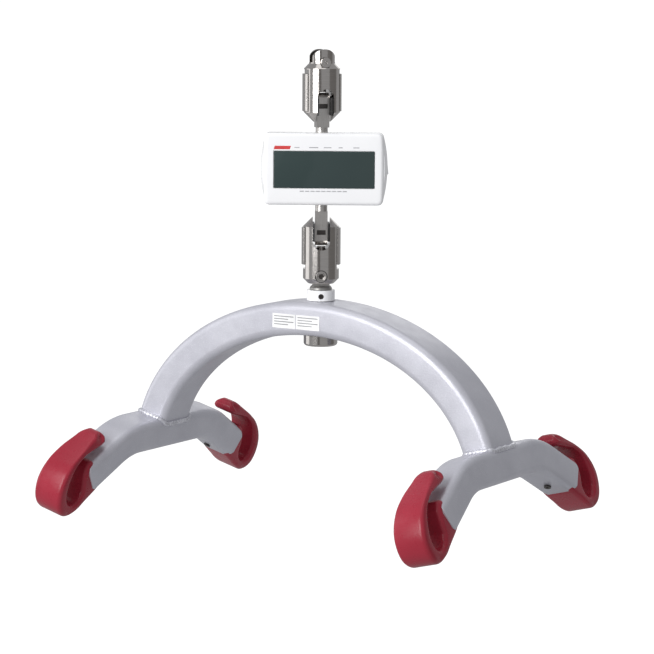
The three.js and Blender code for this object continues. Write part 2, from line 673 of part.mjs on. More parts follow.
// corner screw from the back into the front shell's boss
function caseScrew(x, z) {
  const from = SCREW.headFrom + GAP;
  const head = rod('y', 2.7, from, from + 2.4, x, z, 18);
  const shank = rod('y', 1.35, CASE.front + 4.5, from + 0.5, x, z, 12);
  const socket = rod('y', 1.1, from + 1, from + 4, x, z, 6);
  return head.add(shank).subtract(socket);
}

// S-shaped load cell: a block with two opposed saw cuts that end in round holes
function loadCell() {
  const { halfX, halfY, halfZ } = CELL;
  let block = box(-halfX, -halfY, -halfZ, halfX, halfY, halfZ);
  for (const side of [1, -1]) {
    const slit = box(-halfX * 0.55, -20, side * 15 - 1.2, halfX + 5, 20, side * 15 + 1.2);
    block = block.subtract(side > 0 ? slit : slit.rotate([0, 180, 0]).translate([0, 0, -30]));
  }
  return block.subtract(rod('y', 7, -20, 20, 0, 0, 24));
}

// key whose face leans out towards its lower end, with a flange inside the case
function sideKey() {
  const root = CASE.halfMid - 6;
  const s = new THREE.Shape();
  s.moveTo(root, KEY.bottom);
  s.lineTo(CASE.halfMid + KEY.stand, KEY.bottom);
  s.lineTo(CASE.halfMid + KEY.flush, KEY.top);
  s.lineTo(root, KEY.top);
  const cap = slabY(s, KEY.y - KEY.halfY, KEY.y + KEY.halfY, 1);
  const flange = box(root, KEY.y - KEY.halfY - 1.2, KEY.bottom - 1.2,
    root + 1.2, KEY.y + KEY.halfY + 1.2, KEY.top + 1.2);
  return cap.add(flange);
}

function lockNut(z0, z1) {
  return rod('z', 9, z0, z1, 0, 0, 6).subtract(rod('z', STEM_R + GAP, z0 - 1, z1 + 1, 0, 0, 28));
}

function scaleGroup(root) {
  const scale = new THREE.Group();
  scale.position.z = CASE_Z;
  scale.rotation.z = SCALE_YAW;
  root.add(scale);
  const shells = new THREE.Group();
  shells.position.x = CASE.x;
  scale.add(shells);
  part(shells, 'scale_front_shell', frontShell(), whitePlastic);
  part(shells, 'scale_rear_shell', rearShell(), whitePlastic);
  part(shells, 'battery_door', batteryDoor(), whitePlastic);
  part(shells, 'side_key', sideKey(), whitePlastic);
  part(shells, 'key_switch', box(50, KEY.y - 2.5, 2, 55.4, KEY.y + 2.5, 8), blackPlastic);
  cornerPlaces.forEach(([x, z], i) => part(shells, `case_screw_${i + 1}`, caseScrew(x, z), darkSteel));
  const { front } = CASE;
  part(shells, 'display_window', lensBox(0, front - 0.2, front + 0.9), lensGlass);
  part(shells, 'display_module', lensBox(-4, front + 2.8, front + 5.2), lensGlass);
  part(shells, 'circuit_board', box(-45, front + 5.5, -24, 45, front + 7.1, 24), board);
  part(shells, 'battery_tray', batteryTray(), blackPlastic);
  BATTERY.x.forEach((batteryX, i) => {
    const cell = rod('z', BATTERY.r, -BATTERY.halfLength, BATTERY.halfLength, batteryX, BATTERY.y);
    part(shells, `battery_${i + 1}`, cell, aluminium);
  });
  part(scale, 'load_cell', loadCell(), aluminium);
  part(scale, 'lock_nut_upper', lockNut(CELL.halfZ + GAP, CELL.halfZ + 5), steel);
  part(scale, 'lock_nut_lower', lockNut(-CELL.halfZ - 5, -CELL.halfZ - GAP), steel);

  const lowerTongue = new THREE.Group();
  lowerTongue.position.z = LOWER_END_Z;
  lowerTongue.rotation.z = LOWER_YAW;
  root.add(lowerTongue);
  part(lowerTongue, 'lower_tongue', tongue(CASE_Z - CELL.halfZ - GAP - LOWER_END_Z), steel);
  const upperTongue = new THREE.Group();
  const over = new THREE.Group();
  upperTongue.position.z = UPPER_END_Z;
  upperTongue.rotation.z = UPPER_YAW;
  over.rotation.y = Math.PI;
  upperTongue.add(over);
  root.add(upperTongue);
  part(over, 'upper_tongue', tongue(UPPER_END_Z - CASE_Z - CELL.halfZ - GAP), steel);
}

const root = new THREE.Group();
const model = new THREE.Group();
model.position.z = -STRAP_PIN_Z;
root.add(model);
hangerGroup(model);
swivelGroup(model);
couplingGroups(model);
scaleGroup(model);

export default root;
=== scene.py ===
"""Looks of a four-point spreader bar that hangs under a digital hanging scale.

Shapes are written in millimetres in the frame of their own sub-assembly, and a placement matrix carries
each one into the row frame in metres. Heights are above the lowest point of the hooks.
REACH is how far a cutting tool runs past the part it cuts.
"""

import json
import math

import bmesh
import bpy
from mathutils import Matrix, Vector


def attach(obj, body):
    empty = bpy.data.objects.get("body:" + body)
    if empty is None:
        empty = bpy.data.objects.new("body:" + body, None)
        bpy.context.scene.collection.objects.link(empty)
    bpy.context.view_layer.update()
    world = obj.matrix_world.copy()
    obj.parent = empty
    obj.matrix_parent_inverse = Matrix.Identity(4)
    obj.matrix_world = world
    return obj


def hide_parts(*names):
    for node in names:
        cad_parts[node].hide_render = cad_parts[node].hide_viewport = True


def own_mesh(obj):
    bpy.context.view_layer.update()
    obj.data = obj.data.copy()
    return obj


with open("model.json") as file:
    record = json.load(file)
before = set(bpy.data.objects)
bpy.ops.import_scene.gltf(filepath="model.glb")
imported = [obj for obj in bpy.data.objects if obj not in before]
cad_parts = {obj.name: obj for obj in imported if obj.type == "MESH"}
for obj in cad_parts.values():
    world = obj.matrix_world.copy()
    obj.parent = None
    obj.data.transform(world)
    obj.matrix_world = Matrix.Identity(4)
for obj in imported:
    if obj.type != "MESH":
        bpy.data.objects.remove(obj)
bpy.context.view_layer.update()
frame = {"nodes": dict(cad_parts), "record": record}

# ---- driving dimensions, millimetres
GAP = 0.3
REACH = 30.0
UPPER_END_Z = 461.0
CROSS_PIN_Z = 8.0
STRAP_PIN_Z = UPPER_END_Z - CROSS_PIN_Z
LOWER_END_Z = 234.0
CASE_Z = 348.5
ARCH_TOP_Z = 216.5
LOWER_YAW = math.radians(34)
UPPER_YAW = math.radians(47)
SCALE_YAW = math.radians(31)

ARCH = dict(semi_x=199.5, semi_z=153.0, half_depth=25.0, half_thick=17.0, round=8.0, sweep=78.0)
ARCH_CENTRE_Z = ARCH_TOP_Z - ARCH["half_thick"] - ARCH["semi_z"]
BAR = dict(x=217.0, lean=math.radians(15), half_width=18.5, half_height=17.0, line_z=71.75, round=8.0,
           level=50.0, bend_r=75.0, bend=math.radians(30))
NOSE = dict(y=112.0, z=48.0, r=22.0)
HOOK = dict(half_width=17.25, tip_half=12.5, taper_from=38.0, top=86.0, rim=4.6)
WELD = dict(r=2.5, puddle=0.32, puddle_steps=7.0, wander=0.55, out=0.3, lift=0.4)

BARREL = dict(r=18.0, length=67.0, end_r=13.0, end_chamfer=5.0, top_r=8.0, top_chamfer=10.0)
WINDOW = dict(half=8.5, bottom=34.0)
LOCK_BORE = dict(r=4.4, low=17.0)
PIVOT_BORE_R = 2.8
END_SLOT_HALF = 6.5
STRAP_EYE = dict(r=8.2, bore=5.3)
BOLT_EYE = dict(half_x=10.9, r=7.2, bore=4.3, head_bore=6.3, head_y=-12.0)
SHOE = dict(flat=15.7, r=19.5, half=8.7, low=19.0, high=56.0)
TONGUE = dict(half_x=6.25, half_y=6.2, top=72.0, pin_z=44.0, bore=2.85)
# pad gives the depths of the dark plate that paints shade at the bottom of each pocket
POCKET = dict(z=51.0, half_x=4.4, half_z=2.3, depth=3.5, shade_pad=(2.0, 3.6), shade_pad_gap=0.1)
STEM_R = 6.0
CELL_HALF_H = 26.0
SPRING = dict(r=3.2, wire=0.7, turns=3, low=17.3, high=26.5, travel=4.0)
CROSS_SCREW = dict(head_r=5.6, front=-16.6, neck=-12.3, shank_r=4.0, tip=15.5, dish_r=3.8, dish_y=-15.9,
                   socket_r=2.8, socket_y=-13.4)
STRAP_PIN = dict(r=5.0, half=16.9, centre_r=1.2, centre_y=-15.4)
CASE = dict(half_top=58.0, half_mid=62.8, front_mid=59.6, half_h=35.7, front=-17.0, split=-2.0, back=23.0,
            x=2.6, corner=5.0, soft=4.0, wall=2.4)
LENS = dict(half_x=49.9, half_z=18.4, x=0.5, z=-0.5)
KEY = dict(y=7.0, half_y=3.5, bottom=-6.0, top=16.6, stand=1.0, flush=-1.2)
SHADE_LINER = dict(inner=6.65, outer=8.2, bottom=42.5, top=60.0)
DOOR = dict(x0=-52.0, x1=-20.0, half_z=23.0, front=8.0)
GRIP = dict(r=0.7, x0=-44.0, x1=-28.0, low=-16.0, pitch=2.6, count=5)
BOSS = dict(x=50.0, z=29.0, r=4.2, back=15.0, hole_r=1.7, head_r=3.0, head_y=8.0)
SWIVEL_BOLT = dict(r=7.0, bore=7.3, neck_z=227.8, flange_r=11.0, flange_z=229.8, top_r=9.5, top_z=231.4,
                   half_x=8.5, half_y=6.1, eye_r=6.6, eye_bore=4.35)
COLLAR = dict(r=14.0, low=216.9, high=227.4, screw_z=221.6, screw_r=2.4)
CAP = dict(r=17.0, low=171.4, high=182.1)
LABELS = dict(left=(-41.0, -13.8), right=(-13.0, 14.7), low=189.0, high=203.5)
LABEL_LINES = dict(count=4, first=2.6, pitch=2.7, half=0.45, margin=2.0, short=0.72)
MARKS = dict(strip=16.0, strip_h=3.4, strip_lean=1.0, above=1.6, below=3.4, ticks=9, tick=4.2, tick_h=1.0,
             tick_pitch=5.3, tick_first=-24.0, unit_lengths=(5.0, 9.0, 7.5, 4.0, 6.0), unit_first=20.5,
             unit_pitch=14.5, unit_low=1.4, unit_high=2.3, proud=0.05, film=0.15)

# ---- placements
MILLIMETRES = Matrix.Translation((0, 0, -STRAP_PIN_Z / 1000)) @ Matrix.Scale(0.001, 4)


def placed(z=0.0, yaw=0.0, over=False, x=0.0):
    """Frame of a sub-assembly at height z, turned by yaw, turned over if asked, then moved along its x."""
    turn = Matrix.Rotation(math.pi if over else 0.0, 4, "Y")
    return (MILLIMETRES @ Matrix.Translation((0, 0, z)) @ Matrix.Rotation(yaw, 4, "Z") @ turn
            @ Matrix.Translation((x, 0, 0)))


def side_placed(sx):
    """Frame of one crossbar: its plane leans towards the arch."""
    return (MILLIMETRES @ Matrix.Translation((sx * BAR["x"], 0, 0))
            @ Matrix.Rotation(-sx * BAR["lean"], 4, "Y"))


LOWER = placed(LOWER_END_Z, LOWER_YAW)
UPPER = placed(UPPER_END_Z, UPPER_YAW, over=True)
CASING = placed(CASE_Z, SCALE_YAW, x=CASE["x"])
SWIVEL = placed(0.0, LOWER_YAW)


# ---- mesh helpers
def linked(name, data):
    """New object in the scene with the given data."""
    obj = bpy.data.objects.new(name, data)
    bpy.context.scene.collection.objects.link(obj)
    return obj


def mesh_object(name, verts, faces):
    mesh = bpy.data.meshes.new(name)
    mesh.from_pydata(verts, [], faces)
    obj = linked(name, mesh)
    with_bmesh(obj, tidy_normals)
    return obj


def with_bmesh(obj, action):
    bm = bmesh.new()
    bm.from_mesh(obj.data)
    action(bm)
    bm.to_mesh(obj.data)
    bm.free()


def tidy_normals(bm):
    """Joins points that coincide and turns every face outwards."""
    bmesh.ops.remove_doubles(bm, verts=bm.verts, dist=1e-5)
    bmesh.ops.recalc_face_normals(bm, faces=bm.faces)


def bands(rows, count):
    """Quads between neighbouring closed rings of count points each."""
    faces = []
    for i in range(rows):
        for j in range(count):
            k = (j + 1) % count
            faces.append((i * count + j, i * count + k, (i + 1) * count + k, (i + 1) * count + j))
    return faces


def loft(name, rings, cap=True):
    """Closed rings of equal length joined by quads. With cap, flat faces cover both ends."""
    count = len(rings[0])
    verts = [p for ring in rings for p in ring]
    faces = bands(len(rings) - 1, count)
    if cap:
        faces.append(tuple(range(count)))
        faces.append(tuple(range((len(rings) - 1) * count, len(rings) * count)))
    return mesh_object(name, verts, faces)


def turned(name, profile, segments=96):
    """Solid of revolution about Z from [radius, height] points between two points on the axis."""
    rings = []
    for r, z in profile:
        radius = max(r, 1e-4)
        rings.append([(radius * math.cos(t), radius * math.sin(t), z)
                      for t in (2 * math.pi * k / segments for k in range(segments))])
    return loft(name, rings)


def rod(axis, r, low, high, a=0.0, b=0.0, segments=64):
    """Round bar along an axis between two stations, through (a, b) on the other two axes."""
    obj = turned("rod", [(r, low), (r, high)], segments)
    if axis == "x":
        obj.data.transform(Matrix.Translation((0, a, b)) @ Matrix.Rotation(math.pi / 2, 4, "Y"))
    elif axis == "y":
        obj.data.transform(Matrix.Translation((a, 0, b)) @ Matrix.Rotation(-math.pi / 2, 4, "X"))
    else:
        obj.data.transform(Matrix.Translation((a, b, 0)))
    return obj


def tube_ring(heart, out, side, r, count):
    """Round section of a bent tube, in the plane of two unit vectors."""
    return [tuple(heart + (out * math.cos(t) + side * math.sin(t)) * r)
            for t in (2 * math.pi * k / count for k in range(count))]


def block(low, high):
    """Box between two opposite corners."""
    (x0, y0, z0), (x1, y1, z1) = low, high
    ring = [(x0, y0), (x1, y0), (x1, y1), (x0, y1)]
    return loft("block", [[(x, y, z) for x, y in ring] for z in (z0, z1)])


def applied(obj):
    """Applies the object's modifiers to its mesh."""
    graph = bpy.context.evaluated_depsgraph_get()
    old = obj.data
    obj.data = bpy.data.meshes.new_from_object(obj.evaluated_get(graph))
    obj.modifiers.clear()
    bpy.data.meshes.remove(old)
    return obj


def combine(obj, operation, tools):
    """Boolean of an object with each tool in turn. The tools are used up."""
    for tool in tools:
        modifier = obj.modifiers.new("join", "BOOLEAN")
        modifier.operation = operation
        modifier.solver = "EXACT"
        modifier.object = tool
        bpy.context.view_layer.update()
        applied(obj)
        bpy.data.objects.remove(tool)
    return obj


def cut(obj, *tools):
    return combine(obj, "DIFFERENCE", tools)


def join(obj, *tools):
    return combine(obj, "UNION", tools)


def common(obj, *tools):
    return combine(obj, "INTERSECT", tools)


def soften(obj, width, segments=3, angle=28):
    """Rounds every edge sharper than the angle, and keeps flat faces flat in shading."""
    with_bmesh(obj, lambda bm: bmesh.ops.dissolve_limit(
        bm, angle_limit=math.radians(0.5), verts=bm.verts, edges=bm.edges))
    for polygon in obj.data.polygons:
        polygon.use_smooth = True
    bevel = obj.modifiers.new("edge", "BEVEL")
    bevel.width = width
    bevel.segments = segments
    bevel.limit_method = "ANGLE"
    bevel.angle_limit = math.radians(angle)
    bevel.harden_normals = True
    bpy.context.view_layer.update()
    return applied(obj)


def shade(obj, sharp=40):
    """Smooth shading with edges above the sharp angle left crisp."""
    limit = math.radians(sharp)
    with_bmesh(obj, lambda bm: mark_sharp(bm, limit))


def mark_sharp(bm, limit):
    for face in bm.faces:
        face.smooth = True
    for edge in bm.edges:
        edge.smooth = len(edge.link_faces) == 2 and edge.calc_face_angle() < limit


def piece(obj, name, place, body, slot, replaces=(), finish=None, sharp=None):
    """Names a finished mesh, carries it into the row frame, and ties it to the frame.

    The finish is the material of the slot's own name unless another is named.
    """
    obj.name = name
    obj.data.name = name
    if sharp is not None:
        shade(obj, sharp)
    obj.data.transform(place)
    obj.data.materials.clear()
    obj.data.materials.append(MATERIALS[finish or slot])
    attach(obj, body)
    if replaces:
        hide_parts(*replaces)
    return obj


def rounded_rect(half_x, half_y, r, arc=8):
    """Points of a rectangle with round corners, anticlockwise."""
    points = []
    for cx, cy, start in ((1, 1, 0), (-1, 1, 90), (-1, -1, 180), (1, -1, 270)):
        for k in range(arc + 1):
            a = math.radians(start + 90 * k / arc)
            points.append((cx * (half_x - r) + r * math.cos(a), cy * (half_y - r) + r * math.sin(a)))
    return points


def lerp(a, b, t):
    return a + (b - a) * t


def curve_through(points, per=7):
    """Catmull-Rom points through the given ones, the first left out."""
    out = []
    last = len(points) - 1
    for i in range(last):
        p = [Vector(points[min(max(i + k, 0), last)]) for k in (-1, 0, 1, 2)]
        m0 = (p[2] - p[0]) / 2
        m1 = (p[3] - p[1]) / 2
        for k in range(1, per + 1):
            t = k / per
            out.append(tuple(
                (2 * t ** 3 - 3 * t ** 2 + 1) * p[1] + (t ** 3 - 2 * t ** 2 + t) * m0
                + (3 * t ** 2 - 2 * t ** 3) * p[2] + (t ** 3 - t ** 2) * m1))
    return out


def bezier2(a, b, c, steps):
    """Points of a quadratic curve from a towards c, the first left out."""
    out = []
    for k in range(1, steps + 1):
        t = k / steps
        out.append(tuple((1 - t) ** 2 * a[i] + 2 * t * (1 - t) * b[i] + t * t * c[i] for i in (0, 1)))
    return out


def bezier3(points, t):
    """Point of a cubic curve with four control points."""
    weights = ((1 - t) ** 3, 3 * t * (1 - t) ** 2, 3 * t * t * (1 - t), t ** 3)
    return [sum(w * p[i] for w, p in zip(weights, points)) for i in (0, 1)]


# ---- node helpers
class Shade:
    """One node material: short names for the textures that the finishes are made of."""

    def __init__(self, name, colour, roughness, metallic=0.0, **constants):
        self.material = bpy.data.materials.new(name)
        self.material.use_nodes = True
        self.tree = self.material.node_tree
        self.bsdf = self.tree.nodes["Principled BSDF"]
        self.bsdf.inputs["Base Color"].default_value = (*colour, 1)
        self.bsdf.inputs["Roughness"].default_value = roughness
        self.bsdf.inputs["Metallic"].default_value = metallic
        for key, value in constants.items():
            self.bsdf.inputs[key.replace("_", " ").title().replace("Ior", "IOR")].default_value = value
        self.coords = self.node("ShaderNodeTexCoord").outputs["Object"]

    def node(self, kind, **settings):
        node = self.tree.nodes.new(kind)
        for key, value in settings.items():
            setattr(node, key, value)
        return node

    def link(self, source, target):
        self.tree.links.new(source, target)

    def noise(self, scale, detail=2.0, stretch=(1, 1, 1)):
        mapping = self.node("ShaderNodeMapping")
        mapping.inputs["Scale"].default_value = stretch
        self.link(self.coords, mapping.inputs["Vector"])
        noise = self.node("ShaderNodeTexNoise")
        noise.inputs["Scale"].default_value = scale
        noise.inputs["Detail"].default_value = detail
        self.link(mapping.outputs["Vector"], noise.inputs["Vector"])
        return noise.outputs["Fac"]

    def span(self, value, low, high, out_low=0.0, out_high=1.0):
        node = self.node("ShaderNodeMapRange")
        limits = (("From Min", low), ("From Max", high), ("To Min", out_low), ("To Max", out_high))
        for key, limit in limits:
            node.inputs[key].default_value = limit
        self.link(value, node.inputs["Value"])
        return node.outputs["Result"]

    def blend(self, amount, first, second):
        """Colour mix. first and second are colours or sockets."""
        node = self.node("ShaderNodeMix", data_type="RGBA")
        self.link(amount, node.inputs["Factor"])
        for key, value in (("A", first), ("B", second)):
            socket = next(s for s in node.inputs if s.name == key and s.type == "RGBA")
            if isinstance(value, tuple):
                socket.default_value = (*value, 1)
            else:
                self.link(value, socket)
        return next(s for s in node.outputs if s.type == "RGBA")

    def mottle(self, fac, low, high):
        """Colour that wanders between two others with a noise."""
        return self.blend(self.span(fac, 0.3, 0.7), low, high)

    def colour(self, socket):
        self.link(socket, self.bsdf.inputs["Base Color"])

    def roughness(self, value, low, high):
        self.link(self.span(value, 0.3, 0.7, low, high), self.bsdf.inputs["Roughness"])

    def bump(self, height, distance, strength=1.0):
        node = self.node("ShaderNodeBump")
        node.inputs["Distance"].default_value = distance
        node.inputs["Strength"].default_value = strength
        self.link(height, node.inputs["Height"])
        self.link(node.outputs["Normal"], self.bsdf.inputs["Normal"])


def powder_coat():
    s = Shade("silver_powder_coat", (0.54, 0.54, 0.595), 0.42, 0.35, coat_weight=0.1, coat_roughness=0.3)
    base = s.mottle(s.noise(28, 3), (0.51, 0.51, 0.565), (0.57, 0.57, 0.625))
    flake = s.span(s.noise(1900, 1), 0.62, 0.74)
    s.colour(s.blend(flake, base, (0.72, 0.72, 0.78)))
    s.roughness(s.noise(90, 4), 0.34, 0.48)
    s.bump(s.noise(650, 3), 0.00012)
    return s.material


def red_plastic():
    s = Shade("red_plastic", (0.30, 0.022, 0.038), 0.3, 0.0, specular_ior_level=0.32)
    s.colour(s.mottle(s.noise(24, 3), (0.29, 0.018, 0.034), (0.35, 0.026, 0.047)))
    s.roughness(s.noise(140, 4), 0.24, 0.34)
    s.bump(s.noise(900, 2), 0.00005)
    return s.material


def steel(name, colour, low, high, grain=(1, 1, 60), depth=0.00002):
    """Metal with fine streaks. The grain says how closely they follow each other along each axis."""
    s = Shade(name, colour, low, 1.0)
    streak = s.noise(60, 3, grain)
    s.colour(s.mottle(streak, tuple(0.86 * c for c in colour), colour))
    s.roughness(s.noise(90, 4, grain), low, high)
    s.bump(streak, depth)
    return s.material


def white_plastic():
    s = Shade("white_plastic", (0.92, 0.92, 0.93), 0.2, 0.0, coat_weight=0.15, coat_roughness=0.1)
    s.colour(s.mottle(s.noise(16, 3), (0.90, 0.90, 0.915), (0.94, 0.94, 0.95)))
    s.roughness(s.noise(120, 4), 0.16, 0.26)
    s.bump(s.noise(1100, 2), 0.00002)
    return s.material


def plain_plastic(name, colour, rough_low, rough_high, grain=800, depth=0.00006):
    s = Shade(name, colour, rough_low)
    s.colour(s.mottle(s.noise(40, 3), tuple(0.85 * c for c in colour),
                      tuple(min(1, 1.1 * c) for c in colour)))
    s.roughness(s.noise(150, 3), rough_low, rough_high)
    s.bump(s.noise(grain, 2), depth)
    return s.material


def display_glass():
    s = Shade("display_glass", (0.040, 0.058, 0.058), 0.08, 0.0, specular_ior_level=0.25)
    s.colour(s.mottle(s.noise(9, 2), (0.036, 0.054, 0.054), (0.046, 0.066, 0.064)))
    s.roughness(s.noise(60, 3), 0.05, 0.11)
    return s.material


def weld_metal():
    s = Shade("weld_metal", (0.62, 0.62, 0.67), 0.25, 0.5, coat_weight=0.5, coat_roughness=0.12)
    s.colour(s.mottle(s.noise(90, 3), (0.50, 0.50, 0.55), (0.70, 0.70, 0.76)))
    s.roughness(s.noise(200, 3), 0.18, 0.34)
    s.bump(s.noise(260, 2), 0.0002)
    return s.material


MATERIALS = {
    "silver_powder_coat": powder_coat(),
    "red_plastic": red_plastic(),
    "polished_steel": steel("polished_steel", (0.53, 0.505, 0.485), 0.11, 0.18, depth=0.000008),
    "brushed_steel": steel("brushed_steel", (0.56, 0.54, 0.52), 0.26, 0.38, (30, 30, 1), 0.00004),
    # dark_steel is the springs' own dark steel, and also painted shade: it colours the lock bolt under the
    # tongue, the plates at the bottom of the tongue's pockets and the insert in the screw socket.
    "dark_steel": steel("dark_steel", (0.10, 0.092, 0.088), 0.3, 0.45),
    "blasted_steel": steel("blasted_steel", (0.42, 0.41, 0.40), 0.34, 0.5, (12, 12, 12), 0.0001),
    "aluminium": steel("aluminium", (0.66, 0.66, 0.68), 0.3, 0.42, (1, 30, 1)),
    "bronze": steel("bronze", (0.45, 0.30, 0.12), 0.35, 0.5),
    "white_plastic": white_plastic(),
    "display_glass": display_glass(),
    # black_plastic also paints shade: it colours the liners beside the tongue and the ring round the cross
    # screw's head.
    "black_plastic": plain_plastic("black_plastic", (0.02, 0.02, 0.021), 0.4, 0.55),
    "circuit_board": plain_plastic("circuit_board", (0.03, 0.16, 0.07), 0.4, 0.5, 300, 0.0001),
    "label_film": plain_plastic("label_film", (0.86, 0.86, 0.86), 0.32, 0.42, 500, 0.00002),
    "label_ink": plain_plastic("label_ink", (0.28, 0.28, 0.30), 0.4, 0.5),
    "mark_grey": plain_plastic("mark_grey", (0.42, 0.42, 0.44), 0.35, 0.45),
    "mark_red": plain_plastic("mark_red", (0.62, 0.05, 0.05), 0.3, 0.4),
    "weld_metal": weld_metal(),
}

for row in frame["record"]["subparts"]:
    node = frame["nodes"][row["node"]]
    node.data.materials.clear()
    node.data.materials.append(MATERIALS[row["material_slot"]])


# ---- spreader bar
def arch_point(angle, across, out):
    """Point of the arch at an angle from its crown: across is along Y, out is away from the centre."""
    normal = Vector((ARCH["semi_z"] * math.sin(angle), 0, ARCH["semi_x"] * math.cos(angle))).normalized()
    centre = Vector((ARCH["semi_x"] * math.sin(angle), 0,
                     ARCH_CENTRE_Z + ARCH["semi_z"] * math.cos(angle)))
    return centre + normal * out + Vector((0, across, 0))


def arch_section():
    return rounded_rect(ARCH["half_depth"], ARCH["half_thick"], ARCH["round"], 10)


def build_arch(steps=120):
    section = arch_section()
    sweep = math.radians(ARCH["sweep"])
    rings = [[tuple(arch_point(lerp(-sweep, sweep, i / steps), y, out)) for y, out in section]
             for i in range(steps + 1)]
    arch = loft("arch", rings)
    cut(arch, rod("z", CAP["r"] + 0.7, 150, CAP["high"] + GAP, segments=96),
        rod("z", 10 + GAP, 150, 240, segments=64))
    piece(arch, "arch_skin", MILLIMETRES, "hanger", "silver_powder_coat", ["arch_tube"], sharp=30)


def bar_point(along, h):
    """Point of a crossbar at a distance along its line from the middle, h above the line: (y, z)."""
    run = abs(along)
    angle = min(max(run - BAR["level"], 0) / BAR["bend_r"], BAR["bend"])
    arm = max(run - BAR["level"] - BAR["bend_r"] * BAR["bend"], 0)
    r = BAR["bend_r"] + h
    y = min(run, BAR["level"]) + r * math.sin(angle) + arm * math.cos(angle)
    z = BAR["line_z"] - BAR["bend_r"] + r * math.cos(angle) - arm * math.sin(angle)
    return math.copysign(y, along), z


def bar_height(y, z):
    """Signed height above a crossbar's line, the reverse of bar_point."""
    out, up = abs(y) - BAR["level"], z - BAR["line_z"] + BAR["bend_r"]
    if out <= 0:
        return up - BAR["bend_r"]
    if math.atan2(out, up) <= BAR["bend"]:
        return math.hypot(out, up) - BAR["bend_r"]
    return out * math.sin(BAR["bend"]) + up * math.cos(BAR["bend"]) - BAR["bend_r"]


def bar_distance(n, y, z):
    """Signed distance from a crossbar's skin, in the frame of its side."""
    qx = abs(n) - BAR["half_width"] + BAR["round"]
    qz = abs(bar_height(y, z)) - BAR["half_height"] + BAR["round"]
    outside = math.hypot(max(qx, 0), max(qz, 0))
    return outside + min(max(qx, qz), 0) - BAR["round"]


def nose_reach(h):
    """Distance along the crossbar at which its rounded end cuts the line at height h."""
    low, high = 0.0, 160.0
    for _ in range(40):
        along = (low + high) / 2
        y, z = bar_point(along, h)
        inside = y < NOSE["y"] or math.hypot(y - NOSE["y"], z - NOSE["z"]) < NOSE["r"]
        low, high = (along, high) if inside else (low, along)
    return low


def build_crossbar(name, sx, steps=96):
    section = rounded_rect(BAR["half_width"], BAR["half_height"], BAR["round"], 8)
    ends = [nose_reach(h) for _, h in section]
    count = len(section)
    verts = []
    for i in range(steps + 1):
        t = 2 * i / steps - 1
        verts += [(n, *bar_point(t * end, h)) for (n, h), end in zip(section, ends)]
    faces = bands(steps, count)
    # the rounded ends are filled by strips from one side of the section to the other
    half = count // 2
    start = count // 4
    order = [(start + k) % count for k in range(count)]
    left, right = order[:half], order[half:][::-1]
    for base in (0, steps * count):
        for k in range(half - 1):
            faces.append((base + left[k], base + left[k + 1], base + right[k + 1], base + right[k]))
    bar = mesh_object(name, verts, faces)
    soften(bar, 0.5, 2, 50)
    piece(bar, f"crossbar_skin_{name}", side_placed(sx), "hanger", "silver_powder_coat",
          [f"crossbar_{name}"])


def hook_half_width(z):
    """Half of a hook's width at a height: rounded below, narrower towards the tip, rounded above."""
    low, high = HOOK["half_width"], HOOK["tip_half"]
    crown = HOOK["top"] - 6
    if z < 10:
        t = math.sqrt(max(z + 1, 0) / 11)
        return low - 7 * (1 - t) ** 2
    if z < HOOK["taper_from"]:
        return low
    if z < crown:
        t = (z - HOOK["taper_from"]) / (crown - HOOK["taper_from"])
        return (1 - t) ** 2 * low + 2 * t * (1 - t) * (low - 1) + t * t * high
    t = min((z - crown) / 6, 1)
    return high - 4 * t * t


def hook_outline():
    """Side view of a hook, clockwise from under the crossbar, closed inside the crossbar's end."""
    points = [(113.5, 27.6), (118, 24), (124, 19.8), (131, 15), (137.5, 10.5)]
    points += curve_through([(137.5, 10.5), (151, 3), (162, 4.6), (171.5, 14), (175.3, 29), (172, 45),
                             (163, 58), (150, 68)])
    points += [(143, 72.4), (137, 76.1), (130, 80.5), (124, 84.2)]
    points += curve_through([(124, 84.2), (117, 85.8), (111.5, 82), (111, 76), (116, 72.6)])
    points += [(122, 71), (129, 69.3), (135.5, 67.8), (142, 66.4)]
    points += curve_through([(142, 66.4), (154, 57), (160.5, 44), (162.3, 30), (158.5, 19),
                             (150.5, 14.8), (142.5, 18.5), (138.6, 28)])
    points += curve_through([(138.6, 28), (140.3, 40), (139.2, 50), (135.5, 57.4)])
    points += [(132, 58.3), (129, 58.8), (125, 56), (119, 50), (113, 42), (111, 33)]
    return points


def resampled(points, spacing):
    """The same closed line with even spacing."""
    closed = [Vector(p) for p in points] + [Vector(points[0])]
    out = []
    carry = 0.0
    for a, b in zip(closed, closed[1:]):
        length = (b - a).length
        while carry < length:
            out.append(a.lerp(b, carry / length))
            carry += spacing
        carry -= length
    return out


def inward_normals(points):
    """Unit normals that point into a clockwise or anticlockwise closed line."""
    area = sum(a.x * b.y - b.x * a.y for a, b in zip(points, points[1:] + points[:1]))
    sign = 1 if area > 0 else -1
    count = len(points)
    out = []
    for i in range(count):
        ahead, behind = points[(i + 2) % count], points[i - 2]
        t = (ahead - behind).normalized()
        out.append(Vector((-t.y, t.x)) * sign)
    return out


def thickness(points, normals):
    """Distance through the material from each point of a closed line, along its inward normal."""
    edges = list(zip(points, points[1:] + points[:1]))
    out = []
    for p, n in zip(points, normals):
        nearest = 60.0
        for a, b in edges:
            edge = b - a
            slope = n.x * edge.y - n.y * edge.x
            if abs(slope) < 1e-9:
                continue
            to = a - p
            far = (to.x * edge.y - to.y * edge.x) / slope
            share = (to.x * n.y - to.y * n.x) / slope
            if 0 <= share <= 1 and 0.5 < far < nearest:
                nearest = far
        out.append(nearest)
    return out


def hook_rims(points, normals):
    """Radius of the rounded rim along a hook's outline: smaller where the hook is thin, and even."""
    rims = [min(HOOK["rim"], 0.4 * t) for t in thickness(points, normals)]
    count = len(rims)
    for _ in range(12):
        rims = [min(rims[i], (rims[i - 1] + rims[i] + rims[(i + 1) % count]) / 3) for i in range(count)]
    return rims


